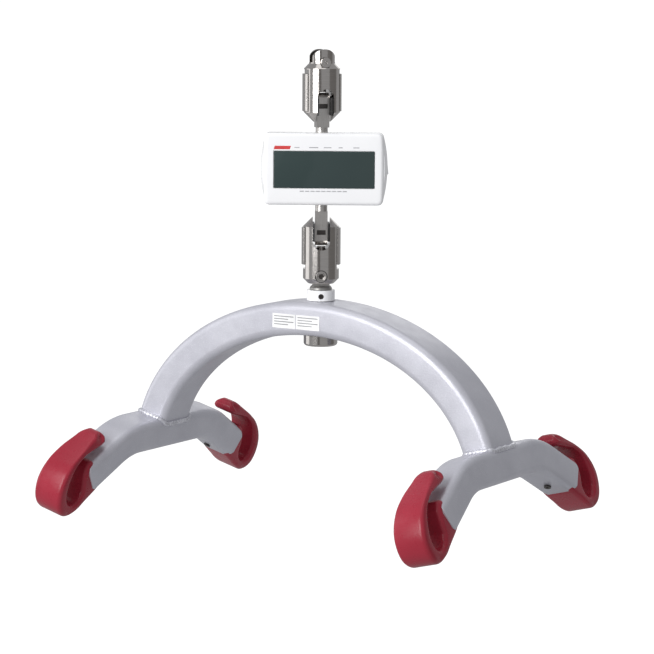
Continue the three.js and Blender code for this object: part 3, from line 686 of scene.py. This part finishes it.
def build_hook(name, sx, end, rim_steps=6):
    outline = resampled(hook_outline(), 1.6)
    normals = inward_normals(outline)
    rims = hook_rims(outline, normals)
    rings = []
    stations = [math.pi / 2 * k / rim_steps for k in range(rim_steps, -1, -1)]
    for side, angles in ((-1, stations), (1, stations[::-1])):
        for a in angles:
            ring = []
            for p, n, rim in zip(outline, normals, rims):
                inset, back = rim * (1 - math.cos(a)), rim * (1 - math.sin(a))
                ring.append((side * (hook_half_width(p.y) - back), (p.x + n.x * inset) * end,
                             p.y + n.y * inset))
            rings.append(ring)
    hook = loft(name, rings)
    with_bmesh(hook, lambda bm: bmesh.ops.triangulate(bm, faces=[f for f in bm.faces if len(f.verts) > 4]))
    piece(hook, f"hook_skin_{name}", side_placed(sx), "hanger", "red_plastic", [f"hook_{name}"], sharp=50)


def weld_line(sx):
    """Where the arch's skin runs into a crossbar, as (point, outward direction) in the hanger's frame."""
    to_side = (MILLIMETRES.inverted() @ side_placed(sx)).inverted()
    line = []
    for y, out in arch_section():
        low, high = math.radians(50), math.radians(ARCH["sweep"])
        for _ in range(30):
            a = (low + high) / 2
            local = to_side @ arch_point(sx * a, y, out)
            low, high = (a, high) if bar_distance(*local) > 0 else (low, a)
        line.append(arch_point(sx * low, y, out))
    return line


def evenly(points, count):
    """Closed line of Vectors resampled to count even steps."""
    closed = points + [points[0]]
    lengths = [0.0]
    for a, b in zip(closed, closed[1:]):
        lengths.append(lengths[-1] + (b - a).length)
    out = []
    i = 0
    for k in range(count):
        s = lengths[-1] * k / count
        while lengths[i + 1] < s:
            i += 1
        span = lengths[i + 1] - lengths[i]
        out.append(closed[i].lerp(closed[i + 1], (s - lengths[i]) / span if span else 0))
    return out


def build_weld(name, sx, count=260):
    """Weld bead round the foot of the arch: overlapping puddles of slightly uneven size."""
    line = evenly(weld_line(sx), count)
    centre = sum(line, Vector()) / count
    rings = []
    for i, p in enumerate(line):
        along = (line[(i + 1) % count] - line[i - 1]).normalized()
        out = p - centre
        out = (out - along * out.dot(along)).normalized()
        up = along.cross(out)
        puddle = abs(math.sin(math.pi * i / WELD["puddle_steps"])) ** 0.7
        wander = math.sin(i * 0.31) * 0.35 + math.sin(i * 0.113 + 1.3) * 0.45
        r = WELD["r"] + WELD["puddle"] * puddle + WELD["wander"] * wander
        heart = p + out * WELD["out"] + up * WELD["lift"] * wander
        rings.append(tube_ring(heart, out, up, r, 14))
    rings.append(rings[0])
    bead = loft(name, rings, cap=False)
    piece(bead, f"weld_{name}", MILLIMETRES, "hanger", "silver_powder_coat", finish="weld_metal",
          sharp=180)


def build_hanger():
    build_arch()
    for side, sx in (("left", -1), ("right", 1)):
        build_crossbar(side, sx)
        build_weld(side, sx)
        for end, direction in (("rear", 1), ("front", -1)):
            build_hook(f"{end}_{side}", sx, direction)


# ---- couplings
def barrel_blank(strap_end):
    """Turned form of a coupling's barrel. The strap end is longer and thinner."""
    r, length = BARREL["r"], BARREL["length"]
    if strap_end:
        end = [(0, -6), (BARREL["end_r"], -6), (BARREL["end_r"], 9), (r, 9 + BARREL["end_chamfer"])]
    else:
        end = [(0, 0), (BARREL["end_r"], 0), (r, BARREL["end_chamfer"])]
    return turned("barrel", [*end, (r, length - BARREL["top_chamfer"]), (BARREL["top_r"], length),
                             (0, length)], 128)


def cross_rod(r, low, high, segments=64):
    """Round bar along a coupling's cross pin."""
    return rod("y", r, low, high, 0, CROSS_PIN_Z, segments)


def build_barrel(prefix, place, body, strap_end):
    """Barrel with its window, shoe slots and bores, and the slot of the strap or of the swivel bolt."""
    half, bottom = WINDOW["half"], WINDOW["bottom"]
    barrel = barrel_blank(strap_end)
    window = join(block((-half, -REACH, bottom + half), (half, REACH, BARREL["length"] + 1)),
                  rod("y", half, -REACH, REACH, 0, bottom + half))
    cut(barrel, window)
    for side in (-1, 1):
        inner, outer = sorted((side * (SHOE["flat"] - GAP), side * REACH))
        cut(barrel, block((inner, -SHOE["half"] - GAP, SHOE["low"] - SPRING["travel"] - GAP),
                          (outer, SHOE["half"] + GAP, SHOE["high"] + GAP)))
    cut(barrel, rod("z", LOCK_BORE["r"], LOCK_BORE["low"], bottom + 4))
    cut(barrel, rod("x", PIVOT_BORE_R, -REACH, REACH, 0, TONGUE["pin_z"]))
    slot = END_SLOT_HALF
    if strap_end:
        cheeks = join(cross_rod(BARREL["end_r"], -REACH, REACH),
                      block((-REACH, -REACH, CROSS_PIN_Z), (REACH, REACH, 75)))
        common(barrel, cheeks)
        cut(barrel, join(block((-REACH, -slot, -10), (REACH, slot, CROSS_PIN_Z)),
                         cross_rod(STRAP_EYE["r"], -slot, slot)))
        cut(barrel, cross_rod(STRAP_EYE["bore"], -REACH, REACH))
    else:
        cut(barrel, join(block((-BOLT_EYE["half_x"], -slot, -1), (BOLT_EYE["half_x"], slot, CROSS_PIN_Z)),
                         cross_rod(BOLT_EYE["r"], -slot, slot)))
        cut(barrel, cross_rod(BOLT_EYE["bore"], -REACH, REACH))
        cut(barrel, cross_rod(BOLT_EYE["head_bore"], -REACH, BOLT_EYE["head_y"]))
    soften(barrel, 0.8, 3)
    piece(barrel, f"{prefix}_barrel_skin", place, body, "polished_steel", [f"{prefix}_barrel"])


def build_shade_liners(prefix, place, body):
    """Plates between the tongue and the sides of the barrel's window, black so that they also paint the
    shade in the gaps beside the tongue.
    """
    for name, side in (("left", -1), ("right", 1)):
        inner, outer = sorted((side * SHADE_LINER["inner"], side * SHADE_LINER["outer"]))
        shade_plate = common(block((inner, -REACH, SHADE_LINER["bottom"]), (outer, REACH, SHADE_LINER["top"])),
                       rod("z", BARREL["r"] - 1, SHADE_LINER["bottom"] - 1, SHADE_LINER["top"] + 1))
        cut(shade_plate, rod("x", PIVOT_BORE_R, -REACH, REACH, 0, TONGUE["pin_z"], 48))
        soften(shade_plate, 0.3, 2)
        piece(shade_plate, f"{prefix}_shade_liner_skin_{name}", place, body, "black_plastic",
              [f"{prefix}_liner_{name}"])


def build_shoes(prefix, place, body):
    for name, side in (("left", -1), ("right", 1)):
        inner, outer = sorted((side * SHOE["flat"], side * REACH))
        shoe = common(rod("z", SHOE["r"], SHOE["low"], SHOE["high"], segments=128),
                      block((inner, -SHOE["half"], SHOE["low"] - 1),
                            (outer, SHOE["half"], SHOE["high"] + 1)))
        soften(shoe, 0.6, 3)
        piece(shoe, f"{prefix}_shoe_skin_{name}", place, body, "polished_steel",
              [f"{prefix}_release_shoe_{name}"])


def build_tongue(prefix, place, stem_to):
    """Tongue with its stem, and a blind pocket in its front and its rear, each with a dark plate at its
    bottom as painted shade.
    """
    hx, hy, top, pin = TONGUE["half_x"], TONGUE["half_y"], TONGUE["top"], TONGUE["pin_z"]
    tongue = join(block((-hx, -hy, pin), (hx, hy, top)), rod("x", hy, -hx, hx, 0, pin))
    tongue = join(tongue, rod("z", STEM_R, top - 1, stem_to, segments=96))
    sx, sz, z, depth = (POCKET[k] for k in ("half_x", "half_z", "z", "depth"))
    reach = 20
    for low, high in ((-reach, -hy + depth), (hy - depth, reach)):
        cut(tongue, block((-sx, low, z - sz), (sx, high, z + sz)))
    cut(tongue, rod("x", TONGUE["bore"], -reach, reach, 0, pin, segments=48))
    soften(tongue, 0.5, 3)
    piece(tongue, f"{prefix}_tongue_skin", place, "scale", "polished_steel", [f"{prefix}_tongue"],
          finish="brushed_steel")
    # Painted shade: a dark plate lies at the bottom of each pocket so that the pocket reads as shadowed.
    slack = POCKET["shade_pad_gap"]
    for name, side in (("front", -1), ("rear", 1)):
        near, far = sorted(side * (hy - deep) for deep in POCKET["shade_pad"])
        shade_pad = block((-sx + slack, near, z - sz + slack), (sx - slack, far, z + sz - slack))
        soften(shade_pad, 0.3, 2)
        piece(shade_pad, f"{prefix}_tongue_shade_pad_{name}", place, "scale", "dark_steel")


def build_spring(prefix, place):
    """Release spring in the barrel. It rides with the release, on a mesh of its own."""
    low, high, wire, r = (SPRING[k] for k in ("low", "high", "wire", "r"))
    steps = 24
    rise = (high - low - 2 * wire) / (2 * math.pi * SPRING["turns"])
    rings = []
    for k in range(SPRING["turns"] * steps + 1):
        a = 2 * math.pi * k / steps
        out = Vector((math.cos(a), math.sin(a), 0))
        along = Vector((-r * math.sin(a), r * math.cos(a), rise)).normalized()
        heart = out * r + Vector((0, 0, low + wire + rise * a))
        rings.append(tube_ring(heart, out, along.cross(out), wire, 10))
    spring = loft("spring", rings)
    piece(spring, f"{prefix}_release_spring_skin", place, f"{prefix}_release", "dark_steel",
          [f"{prefix}_release_spring"], sharp=60)
    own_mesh(spring)


def build_cross_screw():
    """Socket-head screw through the lower coupling, with painted shade: a black ring in the gap round its
    head and a dark insert in its socket.
    """
    c = CROSS_SCREW
    screw = join(cross_rod(c["head_r"], c["front"], c["neck"]),
                 cross_rod(c["shank_r"], c["neck"] - 0.7, c["tip"], 48))
    cut(screw, cross_rod(c["dish_r"], -REACH, c["dish_y"], 48),
        cross_rod(c["socket_r"], -REACH, c["socket_y"], 6))
    soften(screw, 0.35, 2)
    piece(screw, "cross_screw_skin", LOWER, "lower_coupling", "dark_steel", ["cross_screw"],
          finish="polished_steel")
    # Painted shade: a thin black ring fills the gap between the screw head and its bore.
    ring = cut(cross_rod(BOLT_EYE["head_bore"] - 0.05, c["front"] + 0.4, -13.5),
               cross_rod(c["head_r"] + 0.05, -REACH, -10))
    piece(ring, "cross_screw_gap_shade", LOWER, "lower_coupling", "dark_steel", finish="black_plastic",
          sharp=40)
    # Painted shade: a dark insert fills the screw's hex socket, with a small hole in its middle.
    socket_shade = cut(cross_rod(c["socket_r"] - 0.1, -15.2, c["socket_y"] - 0.05, 6),
               cross_rod(1.3, -REACH, -14.5, 24))
    piece(socket_shade, "cross_screw_socket_shade", LOWER, "lower_coupling", "dark_steel", sharp=40)


def build_strap_pin():
    pin = cross_rod(STRAP_PIN["r"], -STRAP_PIN["half"], STRAP_PIN["half"])
    cut(pin, cross_rod(STRAP_PIN["centre_r"], -REACH, STRAP_PIN["centre_y"], 24))
    soften(pin, 0.4, 2)
    piece(pin, "strap_pin_skin", UPPER, "upper_coupling", "polished_steel", ["strap_pin"])


def build_couplings():
    couplings = (("lower", LOWER), ("upper", UPPER))
    for prefix, place in couplings:
        build_barrel(prefix, place, f"{prefix}_coupling", prefix == "upper")
    for prefix, place in couplings:
        build_shade_liners(prefix, place, f"{prefix}_coupling")
    for prefix, place in couplings:
        build_shoes(prefix, place, f"{prefix}_release")
    build_tongue("lower", LOWER, CASE_Z - CELL_HALF_H - GAP - LOWER_END_Z)
    build_tongue("upper", UPPER, UPPER_END_Z - CASE_Z - CELL_HALF_H - GAP)
    for prefix, place in couplings:
        build_spring(prefix, place)
    build_cross_screw()
    build_strap_pin()


# ---- swivel
def build_swivel():
    build_collar()
    build_cap()
    build_swivel_bolt()


def build_collar():
    collar = rod("z", COLLAR["r"], COLLAR["low"], COLLAR["high"], segments=128)
    cut(collar, rod("z", SWIVEL_BOLT["bore"], 200, 240),
        rod("y", COLLAR["screw_r"] + GAP, -REACH, -SWIVEL_BOLT["r"], 0, COLLAR["screw_z"], 48))
    soften(collar, 0.5, 3)
    piece(collar, "collar_skin", SWIVEL, "swivel", "white_plastic", ["swivel_collar"])


def build_cap():
    z0 = CAP["low"]
    cap = turned("cap", [(0, z0), (CAP["r"] - 2.2, z0), (CAP["r"] - 0.8, z0 + 0.8), (CAP["r"], z0 + 2.2),
                         (CAP["r"], CAP["high"]), (0, CAP["high"])], 128)
    cut(cap, rod("z", SWIVEL_BOLT["bore"], z0 + 2.6, 240))
    soften(cap, 0.4, 2)
    piece(cap, "cap_skin", SWIVEL, "swivel", "polished_steel", ["swivel_cap"])


def build_swivel_bolt():
    b = SWIVEL_BOLT
    pin_z = LOWER_END_Z + CROSS_PIN_Z
    foot = CAP["low"] + 3
    bolt = turned("bolt", [(0, foot), (b["r"], foot), (b["r"], b["neck_z"]), (b["flange_r"], b["neck_z"]),
                           (b["flange_r"], b["flange_z"]), (b["top_r"], b["top_z"]), (0, b["top_z"])], 96)
    join(bolt, block((-b["half_x"], -b["half_y"], b["top_z"] - 1), (b["half_x"], b["half_y"], pin_z - 3)))
    join(bolt, rod("y", b["eye_r"], -b["half_y"], b["half_y"], 0, pin_z))
    cut(bolt, rod("y", b["eye_bore"], -REACH, REACH, 0, pin_z))
    soften(bolt, 0.35, 2)
    piece(bolt, "swivel_bolt_skin", SWIVEL, "swivel", "polished_steel", ["swivel_bolt"],
          finish="blasted_steel")


# ---- scale
def face_ring(x, z, r, flare, bow, centre, y, side=16, corner=8):
    """Front view of a box with small round corners and bowed sides. Its point count never changes."""
    wide = x + flare
    points = [(lerp(-x + r, x - r, k / side), -z) for k in range(side + 1)]
    points += bezier2((x - r, -z), (x, -z), (wide, -z + r), corner)
    points += bezier2((wide, -z + r), (2 * bow - wide, 0), (wide, z - r), side)
    points += bezier2((wide, z - r), (x, z), (x - r, z), corner)
    points += [(lerp(x - r, -x + r, k / side), z) for k in range(1, side + 1)]
    points += bezier2((-x + r, z), (-x, z), (-wide, z - r), corner)
    points += bezier2((-wide, z - r), (wide - 2 * bow, 0), (-wide, -z + r), side)
    points += bezier2((-wide, -z + r), (-x, -z), (-x + r, -z), corner)[:-1]
    return [(px + centre[0], y, pz + centre[1]) for px, pz in points]


def case_ring(inset, y, bow_share=1.0):
    """Outline of the case, moved in by an inset. Its sides bow out more behind than in front."""
    bow = lerp(CASE["front_mid"], CASE["half_mid"], bow_share) - inset
    return face_ring(CASE["half_top"] - inset, CASE["half_h"] - inset, max(CASE["corner"] - inset, 0.6),
                     1.0, bow, (0, 0), y)


def window_ring(grow, y):
    """Outline of the display window, moved out by a distance."""
    x = LENS["half_x"] + grow
    return face_ring(x, LENS["half_z"] + grow, 0.7, 0.0, x, (LENS["x"], LENS["z"]), y)


def build_front_shell():
    """Front half of the case in one loft: window recess, front, rounded edge, side, rim and inside."""
    front, rim, soft, wall = CASE["front"], CASE["split"] - GAP / 2, CASE["soft"], CASE["wall"]
    rings = [window_ring(0.0, front + 1.4), window_ring(0.1, front + 0.4), window_ring(0.5, front)]
    for k in range(9):
        a = math.pi / 2 * k / 8
        rings.append(case_ring(soft * (1 - math.sin(a)), front + soft * (1 - math.cos(a)), 0.0))
    for k in range(1, 6):
        share = k / 5
        rings.append(case_ring(0, lerp(front + soft, rim - 0.5, share), math.sin(share * math.pi / 2)))
    rings += [case_ring(0.5, rim), case_ring(wall, rim),
              case_ring(wall, front + 3), window_ring(-1.5, front + 3)]
    rings.append(window_ring(-1.5, front + 1.4))
    rings.append(rings[0])
    shell = loft("front_shell", rings, cap=False)
    piece(shell, "front_shell_skin", CASING, "scale", "white_plastic", ["scale_front_shell"], sharp=35)


def rear_profile(inset, start):
    """Side view of the rear shell as (y, share of the half height), flatter towards the back."""
    z, back, split = CASE["half_h"] - inset, CASE["back"] - inset, CASE["split"]
    stations = [(start, 1.0), (split + 5, 1.0)]
    bend = [(split + 5, z), (back - 6, z), (back, z * 0.6), (back, 0)]
    for k in range(1, 15):
        y, h = bezier3(bend, k / 15)
        stations.append((y, h / z))
    return stations


def build_rear_block(name, inset, start):
    """Closed block: the profile extruded across, cut to the case outline."""
    z = CASE["half_h"] - inset
    half = [(y, share * z) for y, share in rear_profile(inset, start)]
    outline = [(y, -h) for y, h in half] + [(CASE["back"] - inset, 0)] + [(y, h) for y, h in half[::-1]]
    wide = 75
    across = loft(name, [[(x, y, h) for y, h in outline] for x in (-wide, wide)])
    edge = loft("edge", [case_ring(inset, start - 1), case_ring(inset, CASE["back"] + 5)])
    return common(across, edge)


def build_rear_shell():
    split = CASE["split"] + GAP / 2
    shell = build_rear_block("rear_shell", 0, split)
    cut(shell, build_rear_block("inside", CASE["wall"], split - 3))
    cut(shell, block((DOOR["x0"] - GAP, DOOR["front"], -DOOR["half_z"] - GAP),
                     (DOOR["x1"] + GAP, REACH, DOOR["half_z"] + GAP)))
    cut(shell, block((CASE["half_mid"] - 9, KEY["y"] - KEY["half_y"] - GAP, KEY["bottom"] - GAP),
                     (75, KEY["y"] + KEY["half_y"] + GAP, KEY["top"] + GAP)))
    for x, z in ((sx * BOSS["x"], sz * BOSS["z"]) for sx in (-1, 1) for sz in (-1, 1)):
        join(shell, rod("y", BOSS["r"], split + GAP, BOSS["back"], x, z, 48))
        cut(shell, rod("y", BOSS["hole_r"], split - 1, 20, x, z, 24),
            rod("y", BOSS["head_r"], BOSS["head_y"], REACH, x, z, 48))
    cut(shell, rod("z", STEM_R + 0.6, -60, 60, -CASE["x"], 0, 64))
    soften(shell, 0.7, 3, 35)
    piece(shell, "rear_shell_skin", CASING, "scale", "white_plastic", ["scale_rear_shell"])


def build_door():
    split = CASE["split"] + GAP / 2
    door = build_rear_block("door", 0, split)
    cut(door, build_rear_block("inside", CASE["wall"], split - 3))
    common(door, block((DOOR["x0"], DOOR["front"], -DOOR["half_z"]), (DOOR["x1"], REACH, DOOR["half_z"])))
    for k in range(GRIP["count"]):
        cut(door, rod("x", GRIP["r"], GRIP["x0"], GRIP["x1"], CASE["back"] + GRIP["r"] / 2,
                      GRIP["low"] + GRIP["pitch"] * k, 20))
    soften(door, 0.35, 2, 35)
    piece(door, "battery_door_skin", CASING, "battery_door", "white_plastic", ["battery_door"])


def build_window():
    front = CASE["front"]
    rings = [window_ring(-0.2, front + 1.1), window_ring(-0.2, front - 0.05), window_ring(-0.5, front - 0.2)]
    glass = loft("window", rings)
    piece(glass, "display_window_skin", CASING, "scale", "display_glass", ["display_window"], sharp=30)


def thin_mark(name, x0, x1, z0, z1, material, lean=0.0):
    """Printed mark on the case's front: a film that stands a little proud."""
    y = CASE["front"] - MARKS["proud"]
    ring = [(x0, z0), (x1, z0), (x1 + lean, z1), (x0 + lean, z1)]
    film = loft(name, [[(x, y + d, z) for x, z in ring] for d in (0.0, MARKS["film"])])
    piece(film, name, CASING, "scale", "white_plastic", finish=material, sharp=30)


def build_marks():
    """Plain strip and ticks in place of print: a red strip and unit ticks above, a row of ticks below."""
    m = MARKS
    left = LENS["x"] - LENS["half_x"]
    above = LENS["z"] + LENS["half_z"] + m["above"]
    below = LENS["z"] - LENS["half_z"] - m["below"]
    thin_mark("mark_strip", left, left + m["strip"], above, above + m["strip_h"], "mark_red",
              m["strip_lean"])
    for k, length in enumerate(m["unit_lengths"]):
        x = left + m["unit_first"] + m["unit_pitch"] * k
        thin_mark(f"mark_unit_{k + 1}", x, x + length, above + m["unit_low"], above + m["unit_high"],
                  "mark_grey")
    for k in range(m["ticks"]):
        x = LENS["x"] + m["tick_first"] + m["tick_pitch"] * k
        thin_mark(f"mark_line_{k + 1}", x, x + m["tick"], below, below + m["tick_h"], "mark_grey")


def build_key():
    root = CASE["half_mid"] - 6
    outline = [(root, KEY["bottom"]), (CASE["half_mid"] + KEY["stand"], KEY["bottom"]),
               (CASE["half_mid"] + KEY["flush"], KEY["top"]), (root, KEY["top"])]
    key = loft("key", [[(x, y, z) for x, z in outline]
                       for y in (KEY["y"] - KEY["half_y"], KEY["y"] + KEY["half_y"])])
    soften(key, 0.7, 3)
    piece(key, "side_key_skin", CASING, "side_key", "white_plastic", ["side_key"])


def build_labels():
    """Two blank rating labels on the arch's front, with grey lines in place of print."""
    face = -ARCH["half_depth"]
    lines = LABEL_LINES
    for name in ("left", "right"):
        x0, x1 = LABELS[name]
        low, high = LABELS["low"], LABELS["high"]
        film = block((x0, face - 0.35, low), (x1, face - 0.02, high))
        soften(film, 0.12, 2)
        piece(film, f"label_skin_{name}", MILLIMETRES, "hanger", "label_film", [f"rating_label_{name}"])
        start = x0 + lines["margin"]
        for k in range(lines["count"]):
            z = high - lines["first"] - lines["pitch"] * k
            length = (x1 - start - lines["margin"]) * (1.0 if k % 2 == 0 else lines["short"])
            line = block((start, face - 0.42, z - lines["half"]),
                         (start + length, face - 0.3, z + lines["half"]))
            piece(line, f"label_line_{name}_{k + 1}", MILLIMETRES, "hanger", "label_film",
                  finish="label_ink", sharp=30)


def build_scale():
    build_front_shell()
    build_rear_shell()
    build_door()
    build_window()
    build_marks()
    build_key()


build_hanger()
build_couplings()
build_swivel()
build_scale()
build_labels()

# ---- stage, lights and camera, in metres and degrees
FLOOR_DROP = 0.35
FLOOR_R = 60.0
AIM_Z = -0.2
BACKDROP = dict(light=0.46, seen=1.06)
CAMERA = dict(azimuth=32.62, elevation=7.53, roll=0.36, distance=2.567, right=0.0076, up=0.1879, lens=139.9)
LIGHTS = dict(key=(-8, 16, 2.6, (1.5, 1.8), 56), fill=(-66, 10, 2.6, (1.6, 2.0), 11),
              top=(-10, 80, 2.4, (1.6, 1.6), 8), rim=(200, 25, 3.0, (1.5, 2.0), 8))
CARDS = dict(card_front=(20, 1.6, 0.42, 2.4), card_right=(108, 1.6, 1.6, 2.4))


def stage_floor():
    """White floor under the hanging object. It doesn't light the object."""
    s = Shade("floor", (0.2, 0.2, 0.2), 0.8, 0.0, emission_strength=0.98, specular_ior_level=0.1)
    s.bsdf.inputs["Emission Color"].default_value = (1, 1, 1, 1)
    s.colour(s.mottle(s.noise(1.5, 3), (0.19, 0.19, 0.19), (0.21, 0.21, 0.21)))
    z = -STRAP_PIN_Z / 1000 - FLOOR_DROP
    segments = 96
    angles = [2 * math.pi * k / segments for k in range(segments)]
    ring = [(FLOOR_R * math.cos(a), FLOOR_R * math.sin(a), z) for a in angles]
    floor = mesh_object("floor", ring, [tuple(range(segments))])
    floor.data.materials.append(s.material)
    floor.visible_diffuse = False
    floor.visible_glossy = False


def outward(azimuth, elevation=0.0):
    """Unit vector away from the object. Azimuth 0 is in front of the arch, 90 is on its right."""
    a, e = math.radians(azimuth), math.radians(elevation)
    return Vector((math.sin(a) * math.cos(e), -math.cos(a) * math.cos(e), math.sin(e)))


def area_light(name, azimuth, elevation, distance, size, power):
    """Soft box that faces the middle of the object."""
    data = bpy.data.lights.new(name, "AREA")
    data.shape = "RECTANGLE"
    data.size, data.size_y = size
    data.energy = power
    light = linked(name, data)
    away = outward(azimuth, elevation)
    light.location = away * distance + Vector((0, 0, AIM_Z))
    light.rotation_mode = "QUATERNION"
    light.rotation_quaternion = (-away).to_track_quat("-Z", "Y")


def dark_card(name, azimuth, distance, width, height):
    """Dim card that only shows as a dark band in polished metal."""
    s = Shade(name, (0.1, 0.1, 0.1), 0.8, 0.0, emission_strength=0.12)
    s.bsdf.inputs["Emission Color"].default_value = (1, 0.95, 0.92, 1)
    centre = outward(azimuth) * distance + Vector((0, 0, AIM_Z / 2))
    across = outward(azimuth + 90) * (width / 2)
    up = Vector((0, 0, height / 2))
    card = mesh_object(name, [centre - across - up, centre + across - up, centre + across + up,
                              centre - across + up], [(0, 1, 2, 3)])
    card.data.materials.append(s.material)
    card.visible_camera = False
    card.visible_shadow = False
    card.visible_diffuse = False


def build_world():
    """Even pale surroundings. The camera sees them white, and the object is lit by a share of them."""
    world = bpy.data.worlds.new("world")
    bpy.context.scene.world = world
    world.use_nodes = True
    tree = world.node_tree
    back = tree.nodes["Background"]
    back.inputs["Color"].default_value = (0.97, 0.98, 1.0, 1)
    path = tree.nodes.new("ShaderNodeLightPath")
    span = tree.nodes.new("ShaderNodeMapRange")
    span.inputs["To Min"].default_value = BACKDROP["light"]
    span.inputs["To Max"].default_value = BACKDROP["seen"]
    tree.links.new(path.outputs["Is Camera Ray"], span.inputs["Value"])
    tree.links.new(span.outputs["Result"], back.inputs["Strength"])


def build_camera():
    roll = math.radians(CAMERA["roll"])
    back = outward(CAMERA["azimuth"], CAMERA["elevation"])
    level = outward(CAMERA["azimuth"] + 90)
    upright = back.cross(level)
    right = level * math.cos(roll) + upright * math.sin(roll)
    up = upright * math.cos(roll) - level * math.sin(roll)
    data = bpy.data.cameras.new("camera")
    data.lens = CAMERA["lens"]
    data.sensor_width = 36
    camera = linked("camera", data)
    camera.rotation_mode = "QUATERNION"
    camera.rotation_quaternion = Matrix((right, up, back)).transposed().to_quaternion()
    camera.location = (back * CAMERA["distance"] + right * CAMERA["right"] + up * CAMERA["up"]
                       - Vector((0, 0, STRAP_PIN_Z / 1000)))
    bpy.context.scene.camera = camera


stage_floor()
build_world()
bpy.context.scene.view_settings.view_transform = "Standard"
for name, setting in LIGHTS.items():
    area_light(name, *setting)
for name, setting in CARDS.items():
    dark_card(name, *setting)
build_camera()
